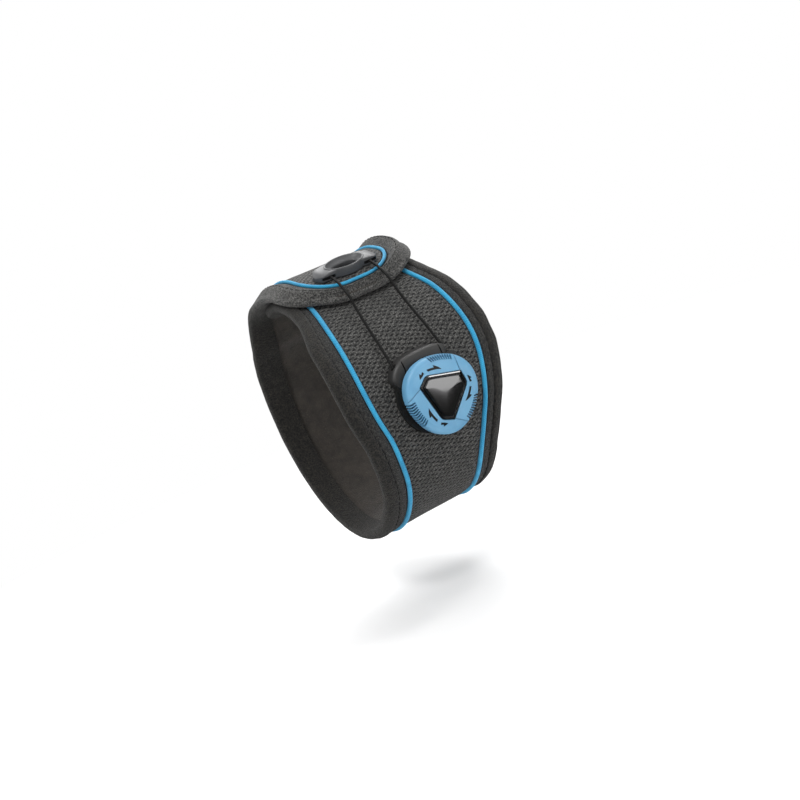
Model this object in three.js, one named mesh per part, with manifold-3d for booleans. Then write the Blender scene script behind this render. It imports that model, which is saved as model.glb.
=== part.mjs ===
// Tennis elbow strap: a padded band wrapped once round the forearm, its free end lapped over its start,
// with a lace looped from a winding dial on the front to a guide on the flap.
// Millimetres. X runs along the forearm toward the wrist, -Y points out of the dial, +Z is up.
// The origin is the middle of the forearm opening.
// A place on the strap is an angle round the forearm, an x along it and a height above the base layer's
// inner face. The angle is 0 at the dial and grows upward; past -180 it goes on round to the flap.

import * as THREE from "three";
import { mergeVertices } from "three/addons/utils/BufferGeometryUtils.js";
import Module from "manifold-3d";

const wasm = await Module();
wasm.setup();

// Forearm opening: an oval that narrows toward the wrist
const openingHalfHeight = 45.3;
const openingHalfDepth = 40.55;
const openingTaper = 0.02;

// Layers and trim of the strap
const gap = 0.3;
const baseThickness = 1.8;
const meshThickness = 1.0;
const bindingThickness = 1.0;
const bindingRound = 1.6;
const pipingDiameter = 1.9;

// Strap as it is cut
const strapWidth = 52;
const innerEndAngle = 112;
const flapEndAngle = -309;
const elbowBorder = 10;
const wristBorder = 9;
const flapElbowBorder = 12;
const flapWristBorder = 8.5;
const flapFrontBorder = 8.4;
const flapCornerRadius = 24.5;
const flapPipingRadius = 14;
const innerCornerRadius = 6;
const innerPipingRadius = 3;

// Where the flap climbs over the start of the strap, and how far its elbow side droops
const climbStartAngle = -220;
const climbEndAngle = -247;
const flapDroop = 1.1;
const lapClearance = 0.55;

// Winding dial
const dialX = 2;
const flangeRadius = 14.6;
const flangeHeight = 1.9;
const housingRadius = 12.8;
const housingHeight = 4.6;
const knobRadius = 14.6;
const knobLobe = 0.45;
const knobHeight = 6.3;
const knobSkirt = 1.3;
const knobBevelWidth = 1.7;
const knobBevelHeight = 2.3;
const gripDepth = 0.6;
const gripTeeth = 10;
const gripPitch = 4.2;
const spindleRadius = 2;
const spindleDepth = 3.2;
const capSide = 6.8;
const capCorner = 9.45;
const capDepth = 1.6;
const capRise = 0.55;
const capBevel = 1.1;
const capTurn = 15;

// Lace and the ports that it leaves the housing by
const laceDiameter = 1.1;
const portSpread = 21.6;
const portHeight = 1.3;
const portWall = 1.35;
const portReach = 11.6;
const portDepth = 5.4;
const portCorner = 1.6;

// Lace guide on the flap
const guideAngle = 70;
const guideX = 0.5;
const guideLength = 26.5;
const guideWingWidth = 8;
const guideWingHeight = 3.1;
const guideWingTip = 1.9;
const guideRingLength = 17;
const guideRingWidth = 10.8;
const guideRingHeight = 3.9;
const guideHoleLength = 10.4;
const guideHoleWidth = 5.2;
const guideChamfer = 0.7;
const guideLaceHeight = 1.6;
const guideLaceSpread = 17;
const guideLaceBack = 4.05;

// Outline of the strap, as shares of its width, at angles round the forearm
const strapOutline = [
  { angle: 112, elbow: -0.5, wrist: 0.52 },
  { angle: 80, elbow: -0.538, wrist: 0.548 },
  { angle: 60, elbow: -0.567, wrist: 0.581 },
  { angle: 45, elbow: -0.596, wrist: 0.655 },
  { angle: 25, elbow: -0.616, wrist: 0.703 },
  { angle: 12, elbow: -0.619, wrist: 0.7 },
  { angle: 0, elbow: -0.602, wrist: 0.663 },
  { angle: -12, elbow: -0.558, wrist: 0.61 },
  { angle: -22, elbow: -0.534, wrist: 0.555 },
  { angle: -35, elbow: -0.506, wrist: 0.505 },
  { angle: -50, elbow: -0.496, wrist: 0.486 },
  { angle: -90, elbow: -0.494, wrist: 0.486 },
  { angle: -180, elbow: -0.51, wrist: 0.51 },
  { angle: -230, elbow: -0.548, wrist: 0.548 },
  { angle: -262, elbow: -0.567, wrist: 0.577 },
  { angle: -309, elbow: -0.577, wrist: 0.577 },
];

// Free stretches of the lace: places on the strap, with the height above the base layer's inner face.
// The stretches inside the ports and the guide are worked out from those.
const laceFromElbowPort = [
  { angle: 20, x: -8.65, height: 5.35 },
  { angle: 28, x: -8.45, height: 4.75 },
  { angle: 36, x: -8.3, height: 4.75 },
  { angle: 44, x: -8.15, height: 5.95 },
  { angle: 49, x: -8.05, height: 7.5 },
  { angle: 52.2, x: -8, height: 9.1 },
  { angle: 56.5, x: -8, height: 10.15 },
  { angle: 60.5, x: -8, height: 10.85 },
];
const laceToWristPort = [
  { angle: 60.5, x: 9.1, height: 10.85 },
  { angle: 56.5, x: 9.4, height: 10.15 },
  { angle: 52.8, x: 9.7, height: 9.2 },
  { angle: 49, x: 10, height: 7.45 },
  { angle: 44, x: 10.4, height: 5.95 },
  { angle: 36, x: 11.1, height: 4.75 },
  { angle: 28, x: 11.8, height: 4.75 },
  { angle: 20, x: 12.45, height: 5.35 },
];

// Heights above the base layer's inner face
const meshBottom = baseThickness + gap;
const meshTop = meshBottom + meshThickness;
const bindingTop = baseThickness + gap + bindingThickness;
const bindingBottom = -gap - bindingThickness;
const pipingRadius = pipingDiameter / 2;
const pipingHeight = baseThickness + gap + pipingRadius;
const flapLift = pipingHeight + pipingRadius + lapClearance - bindingBottom;
const flapFrontLift = bindingTop + lapClearance - bindingBottom;

// Length of strap for one degree, on the flap
const flapRadius = (openingHalfHeight + openingHalfDepth) / 2 + flapLift + baseThickness;
const flapDegree = THREE.MathUtils.degToRad(flapRadius);

// How far the strap is raised where it laps over its start, with the elbow border drooping to its rim
function lapLift(angle, x) {
  const climbed = THREE.MathUtils.smoothstep(-angle, -climbStartAngle, -climbEndAngle);
  const fromFront = (angle - flapEndAngle) * flapDegree;
  const pressed = 1 - THREE.MathUtils.clamp(fromFront / flapFrontBorder, 0, 1);
  const raised = flapLift - pressed * (flapLift - flapFrontLift);
  const pipingX = outlineShare(angle, "elbow") * strapWidth + flapElbowBorder;
  const past = Math.max(0, pipingX - x) / flapElbowBorder;
  return climbed * (raised - flapDroop * past);
}

// Point on an oval round the forearm, moved out along the oval's normal
function pointRound(angle, x, height) {
  const turn = THREE.MathUtils.degToRad(angle);
  const halfHeight = openingHalfHeight - openingTaper * x;
  const halfDepth = openingHalfDepth - openingTaper * x;
  const outY = -Math.cos(turn) / halfDepth;
  const outZ = Math.sin(turn) / halfHeight;
  const out = height / Math.hypot(outY, outZ);
  const y = -halfDepth * Math.cos(turn) + out * outY;
  const z = halfHeight * Math.sin(turn) + out * outZ;
  return new THREE.Vector3(x, y, z);
}

// Point of the strap, with the flap's lift
function strapPoint(angle, x, height) {
  return pointRound(angle, x, height + lapLift(angle, x));
}

// Smooth reading of one column of the outline table
function outlineShare(angle, column) {
  const rows = strapOutline;
  const at = THREE.MathUtils.clamp(angle, rows[rows.length - 1].angle, rows[0].angle);
  const next = Math.max(1, rows.findIndex((row) => row.angle <= at));
  const slope = (k) => {
    const before = rows[Math.max(0, k - 1)];
    const after = rows[Math.min(rows.length - 1, k + 1)];
    return (after[column] - before[column]) / (after.angle - before.angle);
  };
  const from = rows[next - 1];
  const to = rows[next];
  const span = to.angle - from.angle;
  const t = (at - from.angle) / span;
  const rise = to[column] - from[column];
  const bend = (1 - t) * (slope(next - 1) * span - rise) - t * (slope(next) * span - rise);
  return from[column] + t * rise + t * (1 - t) * bend;
}

// A lane is the strap's outline drawn in: by how much at each side and end, with its corner radii
const outerLane = {
  elbow: () => 0,
  wrist: () => 0,
  end: 0,
  flapRadius: flapCornerRadius,
  innerRadius: innerCornerRadius,
};
const onFlap = (angle) => THREE.MathUtils.smoothstep(-angle, 90, 240);
const pipingLane = {
  elbow: (angle) => THREE.MathUtils.lerp(elbowBorder, flapElbowBorder, onFlap(angle)),
  wrist: (angle) => THREE.MathUtils.lerp(wristBorder, flapWristBorder, onFlap(angle)),
  end: flapFrontBorder,
  flapRadius: flapPipingRadius,
  innerRadius: innerPipingRadius,
};

// Rows across the strap between a lane's two sides, from the inner end to the flap's free edge.
// The rows between the corners lie at the same angles in every lane.
const sideSteps = 48;
const flapCornerSteps = 8;
const innerCornerSteps = 3;
const cornerMargin = 2;
const flapCornerReach = Math.max(flapCornerRadius, flapFrontBorder + flapPipingRadius) + cornerMargin;
const innerCornerReach = Math.max(innerCornerRadius, flapFrontBorder + innerPipingRadius) + cornerMargin;
function laneRows(lane, inset) {
  const flapCorner = Math.max(0.2, lane.flapRadius - inset);
  const innerCorner = Math.max(0.2, lane.innerRadius - inset);
  const end = (lane.end + inset) / flapDegree;
  const first = innerEndAngle - end - innerCorner / flapDegree;
  const last = flapEndAngle + end + flapCorner / flapDegree;
  const rows = [];
  const addRow = (angle, cut) => {
    rows.push({
      angle,
      elbow: outlineShare(angle, "elbow") * strapWidth + lane.elbow(angle) + inset + cut,
      wrist: outlineShare(angle, "wrist") * strapWidth - lane.wrist(angle) - inset - cut,
    });
  };
  for (let i = innerCornerSteps; i >= 0; i--) {
    const turn = ((i / innerCornerSteps) * Math.PI) / 2;
    addRow(first + (innerCorner * Math.sin(turn)) / flapDegree, innerCorner * (1 - Math.cos(turn)));
  }
  const sideFirst = innerEndAngle - innerCornerReach / flapDegree;
  const sideLast = flapEndAngle + flapCornerReach / flapDegree;
  for (let i = 0; i <= sideSteps; i++) {
    addRow(THREE.MathUtils.lerp(sideFirst, sideLast, i / sideSteps), 0);
  }
  for (let i = 0; i <= flapCornerSteps; i++) {
    const turn = ((i / flapCornerSteps) * Math.PI) / 2;
    addRow(last - (flapCorner * Math.sin(turn)) / flapDegree, flapCorner * (1 - Math.cos(turn)));
  }
  return rows;
}

// Closed mesh from points and faces, turned so that its faces point outward
function closedGeometry(points, faces) {
  const volume = faces.reduce((sum, [a, b, c]) => {
    return sum + points[a].dot(new THREE.Vector3().crossVectors(points[b], points[c]));
  }, 0);
  const index = faces.flatMap(([a, b, c]) => (volume < 0 ? [a, c, b] : [a, b, c]));
  const geometry = new THREE.BufferGeometry().setFromPoints(points);
  geometry.setIndex(index);
  return geometry;
}

// Closed body from rings of points with one count, each joined to the next and the last to the first
function ringBody(rings) {
  const count = rings[0].length;
  const faces = [];
  rings.forEach((ring, i) => {
    const here = i * count;
    const there = ((i + 1) % rings.length) * count;
    for (let k = 0; k < count; k++) {
      const next = (k + 1) % count;
      faces.push([here + k, here + next, there + next], [here + k, there + next, there + k]);
    }
  });
  return closedGeometry(rings.flat(), faces);
}

// Trim that runs all round the strap: one ring of the strap for each corner of its section
function roundTheStrap(section) {
  return ringBody(
    section.map(({ lane, inset, height }) => {
      const rows = laneRows(lane, inset);
      const elbowSide = rows.map((row) => strapPoint(row.angle, row.elbow, height));
      const wristSide = rows.map((row) => strapPoint(row.angle, row.wrist, height));
      return [...elbowSide, ...wristSide.reverse()];
    }),
  );
}

// Layer through the places listed across each row, from one height to another
function layer(rows, low, high, place) {
  const wide = rows[0].across.length;
  const points = [];
  for (const height of [low, high]) {
    for (const row of rows) points.push(...row.across.map((x) => place(row.angle, x, height)));
  }
  const half = rows.length * wide;
  const last = (rows.length - 1) * wide;
  const side = wide - 1;
  const faces = [];
  const quad = (a, b, c, d) => faces.push([a, b, c], [a, c, d]);
  for (let here = 0; here < last; here += wide) {
    const there = here + wide;
    for (let k = 0; k < side; k++) {
      quad(here + k, here + k + 1, there + k + 1, there + k);
      quad(half + here + k, half + there + k, half + there + k + 1, half + here + k + 1);
    }
    quad(here, there, half + there, half + here);
    quad(here + side, half + here + side, half + there + side, there + side);
  }
  for (let k = 0; k < side; k++) {
    quad(k, half + k, half + k + 1, k + 1);
    quad(last + k, last + k + 1, half + last + k + 1, half + last + k);
  }
  return closedGeometry(points, faces);
}

// Solid for cutting and joining, from a closed geometry with its place applied
function solidOf(geometry) {
  const bare = new THREE.BufferGeometry();
  const loose = geometry.index ? geometry.toNonIndexed() : geometry;
  bare.setAttribute("position", loose.getAttribute("position"));
  const merged = mergeVertices(bare, 1e-4);
  return new wasm.Manifold(
    new wasm.Mesh({
      numProp: 3,
      vertProperties: merged.attributes.position.array,
      triVerts: new Uint32Array(merged.index.array),
    }),
  );
}

function geometryOf(solid) {
  const mesh = solid.getMesh();
  const geometry = new THREE.BufferGeometry();
  geometry.setAttribute("position", new THREE.BufferAttribute(mesh.vertProperties, 3));
  geometry.setIndex(new THREE.BufferAttribute(mesh.triVerts, 1));
  return geometry;
}

// Round bar along -Y from one height above the dial's seat to another
const dialSeat = openingHalfDepth - openingTaper * dialX + meshTop;
function dialBar(radius, low, high, sides) {
  const bar = new THREE.CylinderGeometry(radius, radius, high - low, sides);
  return bar.translate(dialX, -dialSeat - (low + high) / 2, 0);
}

// Tube along a curve
function tubeAlong(curve, radius, sides, steps) {
  const section = new THREE.Shape();
  for (let k = 0; k < sides; k++) {
    const turn = (k / sides) * 2 * Math.PI;
    const x = radius * Math.cos(turn);
    const y = radius * Math.sin(turn);
    if (k === 0) section.moveTo(x, y);
    else section.lineTo(x, y);
  }
  return new THREE.ExtrudeGeometry(section, { steps, extrudePath: curve, bevelEnabled: false });
}

// Rounded rectangle about the origin
function roundedRectangle(length, width, radius) {
  const halfLength = length / 2 - radius;
  const halfWidth = width / 2 - radius;
  const shape = new THREE.Shape();
  shape.absarc(halfLength, halfWidth, radius, 0, Math.PI / 2);
  shape.absarc(-halfLength, halfWidth, radius, Math.PI / 2, Math.PI);
  shape.absarc(-halfLength, -halfWidth, radius, Math.PI, 1.5 * Math.PI);
  shape.absarc(halfLength, -halfWidth, radius, 1.5 * Math.PI, 2 * Math.PI);
  return shape;
}

// Strap pieces

// The base layer bends along the piping lines, or near its edge where the corners leave those outside it
function makeBand() {
  const rows = laneRows(outerLane, bindingThickness + gap);
  for (const row of rows) {
    const least = (row.wrist - row.elbow) / 8;
    const elbowFold = outlineShare(row.angle, "elbow") * strapWidth + flapElbowBorder;
    const wristFold = outlineShare(row.angle, "wrist") * strapWidth - flapWristBorder;
    const inner = [Math.max(row.elbow + least, elbowFold), Math.min(row.wrist - least, wristFold)];
    row.across = [row.elbow, ...inner, row.wrist];
  }
  return layer(rows, 0, baseThickness, strapPoint);
}

function makeMeshPanel() {
  const rows = laneRows(pipingLane, pipingRadius + gap);
  for (const row of rows) row.across = [row.elbow, row.wrist];
  return layer(rows, meshBottom, meshTop, strapPoint);
}

// U-shaped binding: over the border on top, round the rim and back along the inside
function makeEdgeBinding() {
  const seam = { lane: pipingLane, inset: -pipingRadius - gap };
  const rim = (inset, height) => ({ lane: outerLane, inset, height });
  const middle = (bindingTop + bindingBottom) / 2;
  const roundHeight = bindingRound / 3;
  return roundTheStrap([
    { ...seam, height: bindingTop },
    rim(bindingRound, bindingTop),
    rim(bindingRound / 3, bindingTop - roundHeight),
    rim(0, middle),
    rim(bindingRound / 3, bindingBottom + roundHeight),
    rim(bindingRound, bindingBottom),
    { ...seam, height: bindingBottom },
    { ...seam, height: -gap },
    rim(bindingThickness, -gap),
    rim(bindingThickness, baseThickness + gap),
    { ...seam, height: baseThickness + gap },
  ]);
}

function makePiping() {
  const sides = 8;
  const section = [];
  for (let k = 0; k < sides; k++) {
    const turn = (k / sides) * 2 * Math.PI;
    section.push({
      lane: pipingLane,
      inset: pipingRadius * Math.cos(turn),
      height: pipingHeight + pipingRadius * Math.sin(turn),
    });
  }
  return roundTheStrap(section);
}

// Lace guide: built flat with its foot at height 0, then set on the flap

function guidePlate(length, width, radius, low, high) {
  const shape = roundedRectangle(length, width, radius);
  const plate = new THREE.ExtrudeGeometry(shape, { depth: high - low, bevelEnabled: false, curveSegments: 6 });
  return plate.translate(0, 0, low);
}

// Oval stack: rings at heights, each a stadium of its own length and width, closed top and bottom
function ovalRing(length, width, height) {
  const straight = (length - width) / 2;
  const steps = 14;
  const ring = [];
  for (const side of [1, -1]) {
    for (let k = 0; k <= steps; k++) {
      const turn = (k / steps - 0.5) * Math.PI + (side < 0 ? Math.PI : 0);
      const x = side * straight + (width / 2) * Math.cos(turn);
      ring.push(new THREE.Vector3(x, (width / 2) * Math.sin(turn), height));
    }
  }
  return ring;
}

function guideWings() {
  const halfLength = guideLength / 2;
  const inner = guideRingLength / 2 - guideChamfer;
  const tip = guideWingWidth * 0.36;
  const outline = new THREE.Shape();
  outline.moveTo(-halfLength, 0);
  outline.lineTo(halfLength, 0);
  outline.lineTo(halfLength, guideWingTip);
  outline.lineTo(inner, guideWingHeight);
  outline.lineTo(-inner, guideWingHeight);
  outline.lineTo(-halfLength, guideWingTip);
  outline.closePath();
  const slab = new THREE.ExtrudeGeometry(outline, { depth: guideWingWidth, bevelEnabled: false });
  slab.rotateX(Math.PI / 2).translate(0, guideWingWidth / 2, 0);
  const plan = guidePlate(guideLength, guideWingWidth, tip, -1, guideRingHeight + 1);
  return solidOf(slab).intersect(solidOf(plan));
}

class GuideTurn extends THREE.Curve {
  getPoint(t, target = new THREE.Vector3()) {
    const half = guideLaceSpread / 2;
    const entry = guideRingWidth;
    const bend = THREE.MathUtils.clamp((t - 0.25) * 2, 0, 1) * Math.PI;
    const straight = t < 0.25 ? (0.25 - t) * 4 : t > 0.75 ? (t - 0.75) * 4 : 0;
    const y = guideLaceBack * Math.sin(bend) - straight * entry;
    return target.set(-half * Math.cos(bend), y, guideLaceHeight);
  }
}
const guideTurn = new GuideTurn();
const laceChannelRadius = laceDiameter / 2 + gap;

// Height of the guide's foot on the flap
const guideFoot = flapLift + meshTop + gap;
const guideFrame = new THREE.Matrix4();
{
  const at = (turn, slide) => pointRound(guideAngle + turn, guideX + slide, guideFoot);
  const along = at(0, 1).sub(at(0, -1)).normalize();
  const out = new THREE.Vector3().crossVectors(along, at(1, 0).sub(at(-1, 0))).normalize();
  const up = new THREE.Vector3().crossVectors(out, along);
  guideFrame.makeBasis(along, up, out);
  guideFrame.setPosition(at(0, 0));
}

function makeLaceGuide() {
  const chamferTop = guideRingHeight - guideChamfer;
  const ring = ringBody([
    ovalRing(guideRingLength, guideRingWidth, 0),
    ovalRing(guideRingLength, guideRingWidth, chamferTop),
    ovalRing(guideRingLength - 2 * guideChamfer, guideRingWidth - 2 * guideChamfer, guideRingHeight),
    ovalRing(guideHoleLength, guideHoleWidth, (chamferTop + guideRingHeight) / 2),
    ovalRing(guideHoleLength, guideHoleWidth, 0),
  ]);
  const hole = guidePlate(guideHoleLength, guideHoleWidth, guideHoleWidth / 2.01, -1, guideRingHeight + 1);
  const channel = tubeAlong(guideTurn, laceChannelRadius, 8, 40);
  let body = guideWings().subtract(solidOf(hole)).add(solidOf(ring)).subtract(solidOf(channel));
  const slotWidth = 2.6 * laceDiameter;
  const slotDepth = guideWingWidth / 3;
  for (const side of [-1, 1]) {
    const slot = new THREE.BoxGeometry(slotWidth, slotDepth, 2 * laceChannelRadius);
    slot.translate((side * guideLaceSpread) / 2, (slotDepth - guideWingWidth) / 2 - gap, guideLaceHeight);
    body = body.subtract(solidOf(slot));
  }
  return geometryOf(body).applyMatrix4(guideFrame);
}

// Dial

// Block across the dial's middle, from one height above its seat to another, reaching up to the ports,
// with its two upper corners cut off
function dialBlock(x, width, low, high, corner) {
  const half = width / 2;
  const outline = new THREE.Shape();
  outline.moveTo(-half, 0);
  outline.lineTo(half, 0);
  outline.lineTo(half, portReach - corner);
  outline.lineTo(half - corner, portReach);
  outline.lineTo(corner - half, portReach);
  outline.lineTo(-half, portReach - corner);
  outline.closePath();
  const block = new THREE.ExtrudeGeometry(outline, { depth: high - low, bevelEnabled: false });
  return block.rotateX(Math.PI / 2).translate(dialX + x, -dialSeat - low, 0);
}

// Housing on its flange, with a block round each lace port, cut to the curve of the strap
function makeReelBase() {
  const sides = 44;
  const sunk = -4;
  const blockHalf = laceChannelRadius + portWall;
  const blockTop = portHeight + blockHalf;
  const bridgeTop = flangeHeight + portWall / 2;
  let body = solidOf(dialBar(flangeRadius, sunk, flangeHeight, sides));
  body = body.add(solidOf(dialBar(housingRadius, sunk, housingHeight, sides)));
  body = body.add(solidOf(dialBlock(0, portSpread + 2 * blockHalf, sunk, bridgeTop, portCorner)));
  for (const side of [-1, 1]) {
    const block = dialBlock((side * portSpread) / 2, 2 * blockHalf, sunk, blockTop, portCorner / 2);
    body = body.add(solidOf(block));
  }
  for (const side of [-1, 1]) {
    const port = new THREE.CylinderGeometry(laceChannelRadius, laceChannelRadius, portReach, 12);
    port.rotateX(Math.PI / 2);
    port.translate(dialX + (side * portSpread) / 2, -dialSeat - portHeight, 1.5 * portReach - portDepth);
    body = body.subtract(solidOf(port));
  }
  const boreBottom = housingHeight - spindleDepth - gap;
  body = body.subtract(solidOf(dialBar(spindleRadius + gap, boreBottom, housingHeight + 1, 24)));
  const under = [];
  const reach = 1.6 * flangeRadius;
  const steps = 12;
  for (let i = 0; i <= steps; i++) {
    const angle = THREE.MathUtils.lerp(1, -1, i / steps) * THREE.MathUtils.radToDeg(reach / dialSeat);
    under.push({ angle, across: [dialX - reach, dialX + reach] });
  }
  const strapSide = layer(under, sunk - flangeRadius / 2, meshTop + gap, pointRound);
  return geometryOf(body.subtract(solidOf(strapSide)));
}

// Directions round the dial, in degrees: a few near each corner of the cap, then two for each grip tooth
const capCornerHalf = THREE.MathUtils.radToDeg(Math.atan((capSide / capCorner - 0.5) / Math.sin(Math.PI / 3)));
const gripHalf = (gripTeeth * gripPitch) / 2;
const dialDirections = [];
for (let third = 0; third < 3; third++) {
  const corner = capTurn + 120 * third;
  const free = 60 - gripHalf;
  const nearCorner = [-0.8, -0.6, -capCornerHalf / free, -capCornerHalf / free / 2, 0];
  const mirrored = [capCornerHalf / free / 2, capCornerHalf / free, 0.6, 0.8];
  for (const share of [...nearCorner, ...mirrored]) {
    dialDirections.push({ angle: corner + share * free, corner, notch: 0 });
  }
  for (let k = 0; k <= 2 * gripTeeth; k++) {
    dialDirections.push({ angle: corner + free + (k * gripPitch) / 2, corner, notch: k % 2 });
  }
}

// Ring round the dial's axis, at a height above its seat: radiusAt gives the radius in each direction
function dialRing(height, radiusAt) {
  return dialDirections.map((direction) => {
    const turn = THREE.MathUtils.degToRad(direction.angle);
    const radius = radiusAt(direction);
    return new THREE.Vector3(dialX + radius * Math.cos(turn), -dialSeat - height, radius * Math.sin(turn));
  });
}

function knobEdge(inset, notchShare) {
  return ({ angle, corner, notch }) => {
    const lobe = knobLobe * Math.cos(THREE.MathUtils.degToRad(3 * (angle - corner)));
    return knobRadius + lobe - inset - notch * notchShare * gripDepth;
  };
}

// Triangle with cut corners, drawn in by an inset
function capEdge(inset) {
  return ({ angle, corner }) => {
    const fromCorner = THREE.MathUtils.degToRad(angle - corner);
    const toCut = (capCorner - inset) / Math.cos(fromCorner);
    const toSide = (capSide - inset) / Math.cos(Math.abs(fromCorner) - Math.PI / 3);
    const past = Math.abs(fromCorner) > Math.PI / 3;
    const mirrored = (capCorner - inset) / Math.cos((2 * Math.PI) / 3 - Math.abs(fromCorner));
    return Math.min(past ? mirrored : toCut, toSide);
  };
}

const knobBottom = housingHeight + gap;
const knobTop = knobBottom + knobHeight;
const capSeat = knobTop - capDepth;

function makeDialKnob() {
  const bore = () => spindleRadius + gap;
  return ringBody([
    dialRing(knobBottom, bore),
    dialRing(knobBottom, knobEdge(knobSkirt, 0.6)),
    dialRing(knobBottom + knobSkirt, knobEdge(0, 1)),
    dialRing(knobTop - knobBevelHeight, knobEdge(0, 1)),
    dialRing(knobTop - knobBevelHeight / 4, knobEdge(knobBevelWidth, 0.7)),
    dialRing(knobTop, capEdge(-gap)),
    dialRing(capSeat, capEdge(-gap)),
    dialRing(capSeat, bore),
  ]);
}

// Cap: upright sides, a bevel and a face with a low peak
function makeDialCap() {
  const count = dialDirections.length;
  const rings = [
    dialRing(capSeat + gap, capEdge(0)),
    dialRing(knobTop + capRise / 2, capEdge(0)),
    dialRing(knobTop + capRise, capEdge(capBevel)),
  ];
  const centre = (height) => new THREE.Vector3(dialX, -dialSeat - height, 0);
  const points = [...rings.flat(), centre(capSeat + gap), centre(knobTop + 1.4 * capRise)];
  const bottomCentre = 3 * count;
  const topCentre = bottomCentre + 1;
  const faces = [];
  for (let k = 0; k < count; k++) {
    const next = (k + 1) % count;
    for (const low of [0, count]) {
      faces.push([low + k, low + next, low + count + next], [low + k, low + count + next, low + count + k]);
    }
    faces.push([bottomCentre, next, k], [topCentre, 2 * count + k, 2 * count + next]);
  }
  return closedGeometry(points, faces);
}

function makeDialSpindle() {
  return dialBar(spindleRadius, housingHeight - spindleDepth, capSeat - gap, 20);
}

// Lace: out of the elbow-side port, round inside the guide and into the wrist-side port
function makeLace() {
  const place = ({ angle, x, height }) => pointRound(angle, x, height);
  const inPort = (side, z) => {
    return new THREE.Vector3(dialX + (side * portSpread) / 2, -dialSeat - portHeight, z);
  };
  const deep = portReach - portDepth + gap;
  const inGuide = [0.2, 0.25, 0.32, 0.39, 0.44, 0.5, 0.56, 0.61, 0.68, 0.75, 0.8];
  const points = [
    ...[deep, portReach, portReach + 2].map((z) => inPort(-1, z)),
    ...laceFromElbowPort.map(place),
    ...inGuide.map((t) => guideTurn.getPoint(t).applyMatrix4(guideFrame)),
    ...laceToWristPort.map(place),
    ...[portReach + 2, portReach, deep].map((z) => inPort(1, z)),
  ];
  return tubeAlong(new THREE.CatmullRomCurve3(points, false, "centripetal"), laceDiameter / 2, 8, 76);
}

// Materials and the assembly

function finish(color, roughness, metalness = 0) {
  return new THREE.MeshStandardMaterial({ color, roughness, metalness });
}

const pieces = [
  ["band", makeBand(), finish(0x3a3836, 0.95)],
  ["mesh_panel", makeMeshPanel(), finish(0x46484a, 0.9)],
  ["edge_binding", makeEdgeBinding(), finish(0x37342f, 0.92)],
  ["piping", makePiping(), finish(0x38a0dc, 0.75)],
  ["lace_guide", makeLaceGuide(), finish(0x6a6c6e, 0.45)],
  ["lace", makeLace(), finish(0x141312, 0.5)],
  ["reel_base", makeReelBase(), finish(0x262627, 0.5)],
  ["dial_spindle", makeDialSpindle(), finish(0x2a2a2a, 0.4)],
  ["dial_knob", makeDialKnob(), finish(0x76b2dc, 0.5)],
  ["dial_cap", makeDialCap(), finish(0x0c0b0a, 0.12)],
];

const strap = new THREE.Group();
for (const [name, geometry, material] of pieces) {
  const mesh = new THREE.Mesh(geometry, material);
  mesh.name = name;
  strap.add(mesh);
}

export default strap;
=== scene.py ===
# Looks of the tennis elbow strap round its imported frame. Lengths are in millimetres until a mesh is made.

import math

import bmesh
import bpy
import numpy as np
from mathutils import Matrix, Vector


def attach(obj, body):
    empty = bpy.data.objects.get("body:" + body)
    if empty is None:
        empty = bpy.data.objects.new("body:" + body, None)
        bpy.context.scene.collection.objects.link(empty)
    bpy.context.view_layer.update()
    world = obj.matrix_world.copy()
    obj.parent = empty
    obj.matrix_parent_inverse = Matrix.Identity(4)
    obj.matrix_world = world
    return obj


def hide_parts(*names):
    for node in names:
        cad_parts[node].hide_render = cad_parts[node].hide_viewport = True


mm = 0.001
fullTurn = 2 * math.pi
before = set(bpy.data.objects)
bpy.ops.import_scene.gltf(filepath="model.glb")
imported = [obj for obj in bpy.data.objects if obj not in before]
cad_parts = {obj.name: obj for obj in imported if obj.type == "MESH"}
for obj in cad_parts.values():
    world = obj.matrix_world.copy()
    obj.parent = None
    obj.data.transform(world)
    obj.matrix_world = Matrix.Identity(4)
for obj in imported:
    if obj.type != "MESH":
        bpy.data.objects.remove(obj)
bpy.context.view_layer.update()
scene = bpy.context.scene


# Small helpers

def smooth(x, low, high):  # 0 up to low, 1 from high on, level at both
    t = np.clip((np.asarray(x, float) - low) / (high - low), 0, 1)
    return t * t * (3 - 2 * t)


def lerp(a, b, t):
    return a + (b - a) * t


def unit(v):
    return v / np.linalg.norm(v, axis=-1, keepdims=True)


def spread(*parts):  # points from their coordinates, each a number or an array
    return np.stack(np.broadcast_arrays(*parts), -1)


def turnsOf(count, whole=fullTurn):  # even steps round a whole turn
    return np.linspace(0, whole, count + 1)[:-1]


def runLength(points, closed=True):  # length along a path up to each of its points
    ends = np.concatenate([points, points[:1]]) if closed else points
    return np.concatenate([[0], np.cumsum(np.linalg.norm(np.diff(ends, axis=0), axis=1))])


# Random field of u and v, near -1 to 1: a sum of sine waves of about one length in random directions
def ripple(u, v, wave, seed, count=14):
    draw = np.random.default_rng(seed)
    total = np.zeros(np.broadcast(u, v).shape)
    for _ in range(count):
        turn, phase = draw.uniform(0, fullTurn, 2)
        step = fullTurn / (wave * draw.uniform(0.7, 1.6))
        total = total + np.sin(step * (u * math.cos(turn) + v * math.sin(turn)) + phase)
    return total / math.sqrt(count / 2) / 1.6


# Rings round a run of centres: each point is the centre, plus the radius times the cosine of its turn on one
# axis and the sine on the other
def ringsRound(centre, across, up, radius, sides):
    turn = turnsOf(sides)[None, :, None]
    radius = np.broadcast_to(radius, len(centre))[:, None, None]
    return centre[:, None] + radius * (np.cos(turn) * across[:, None] + np.sin(turn) * up[:, None])


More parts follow.
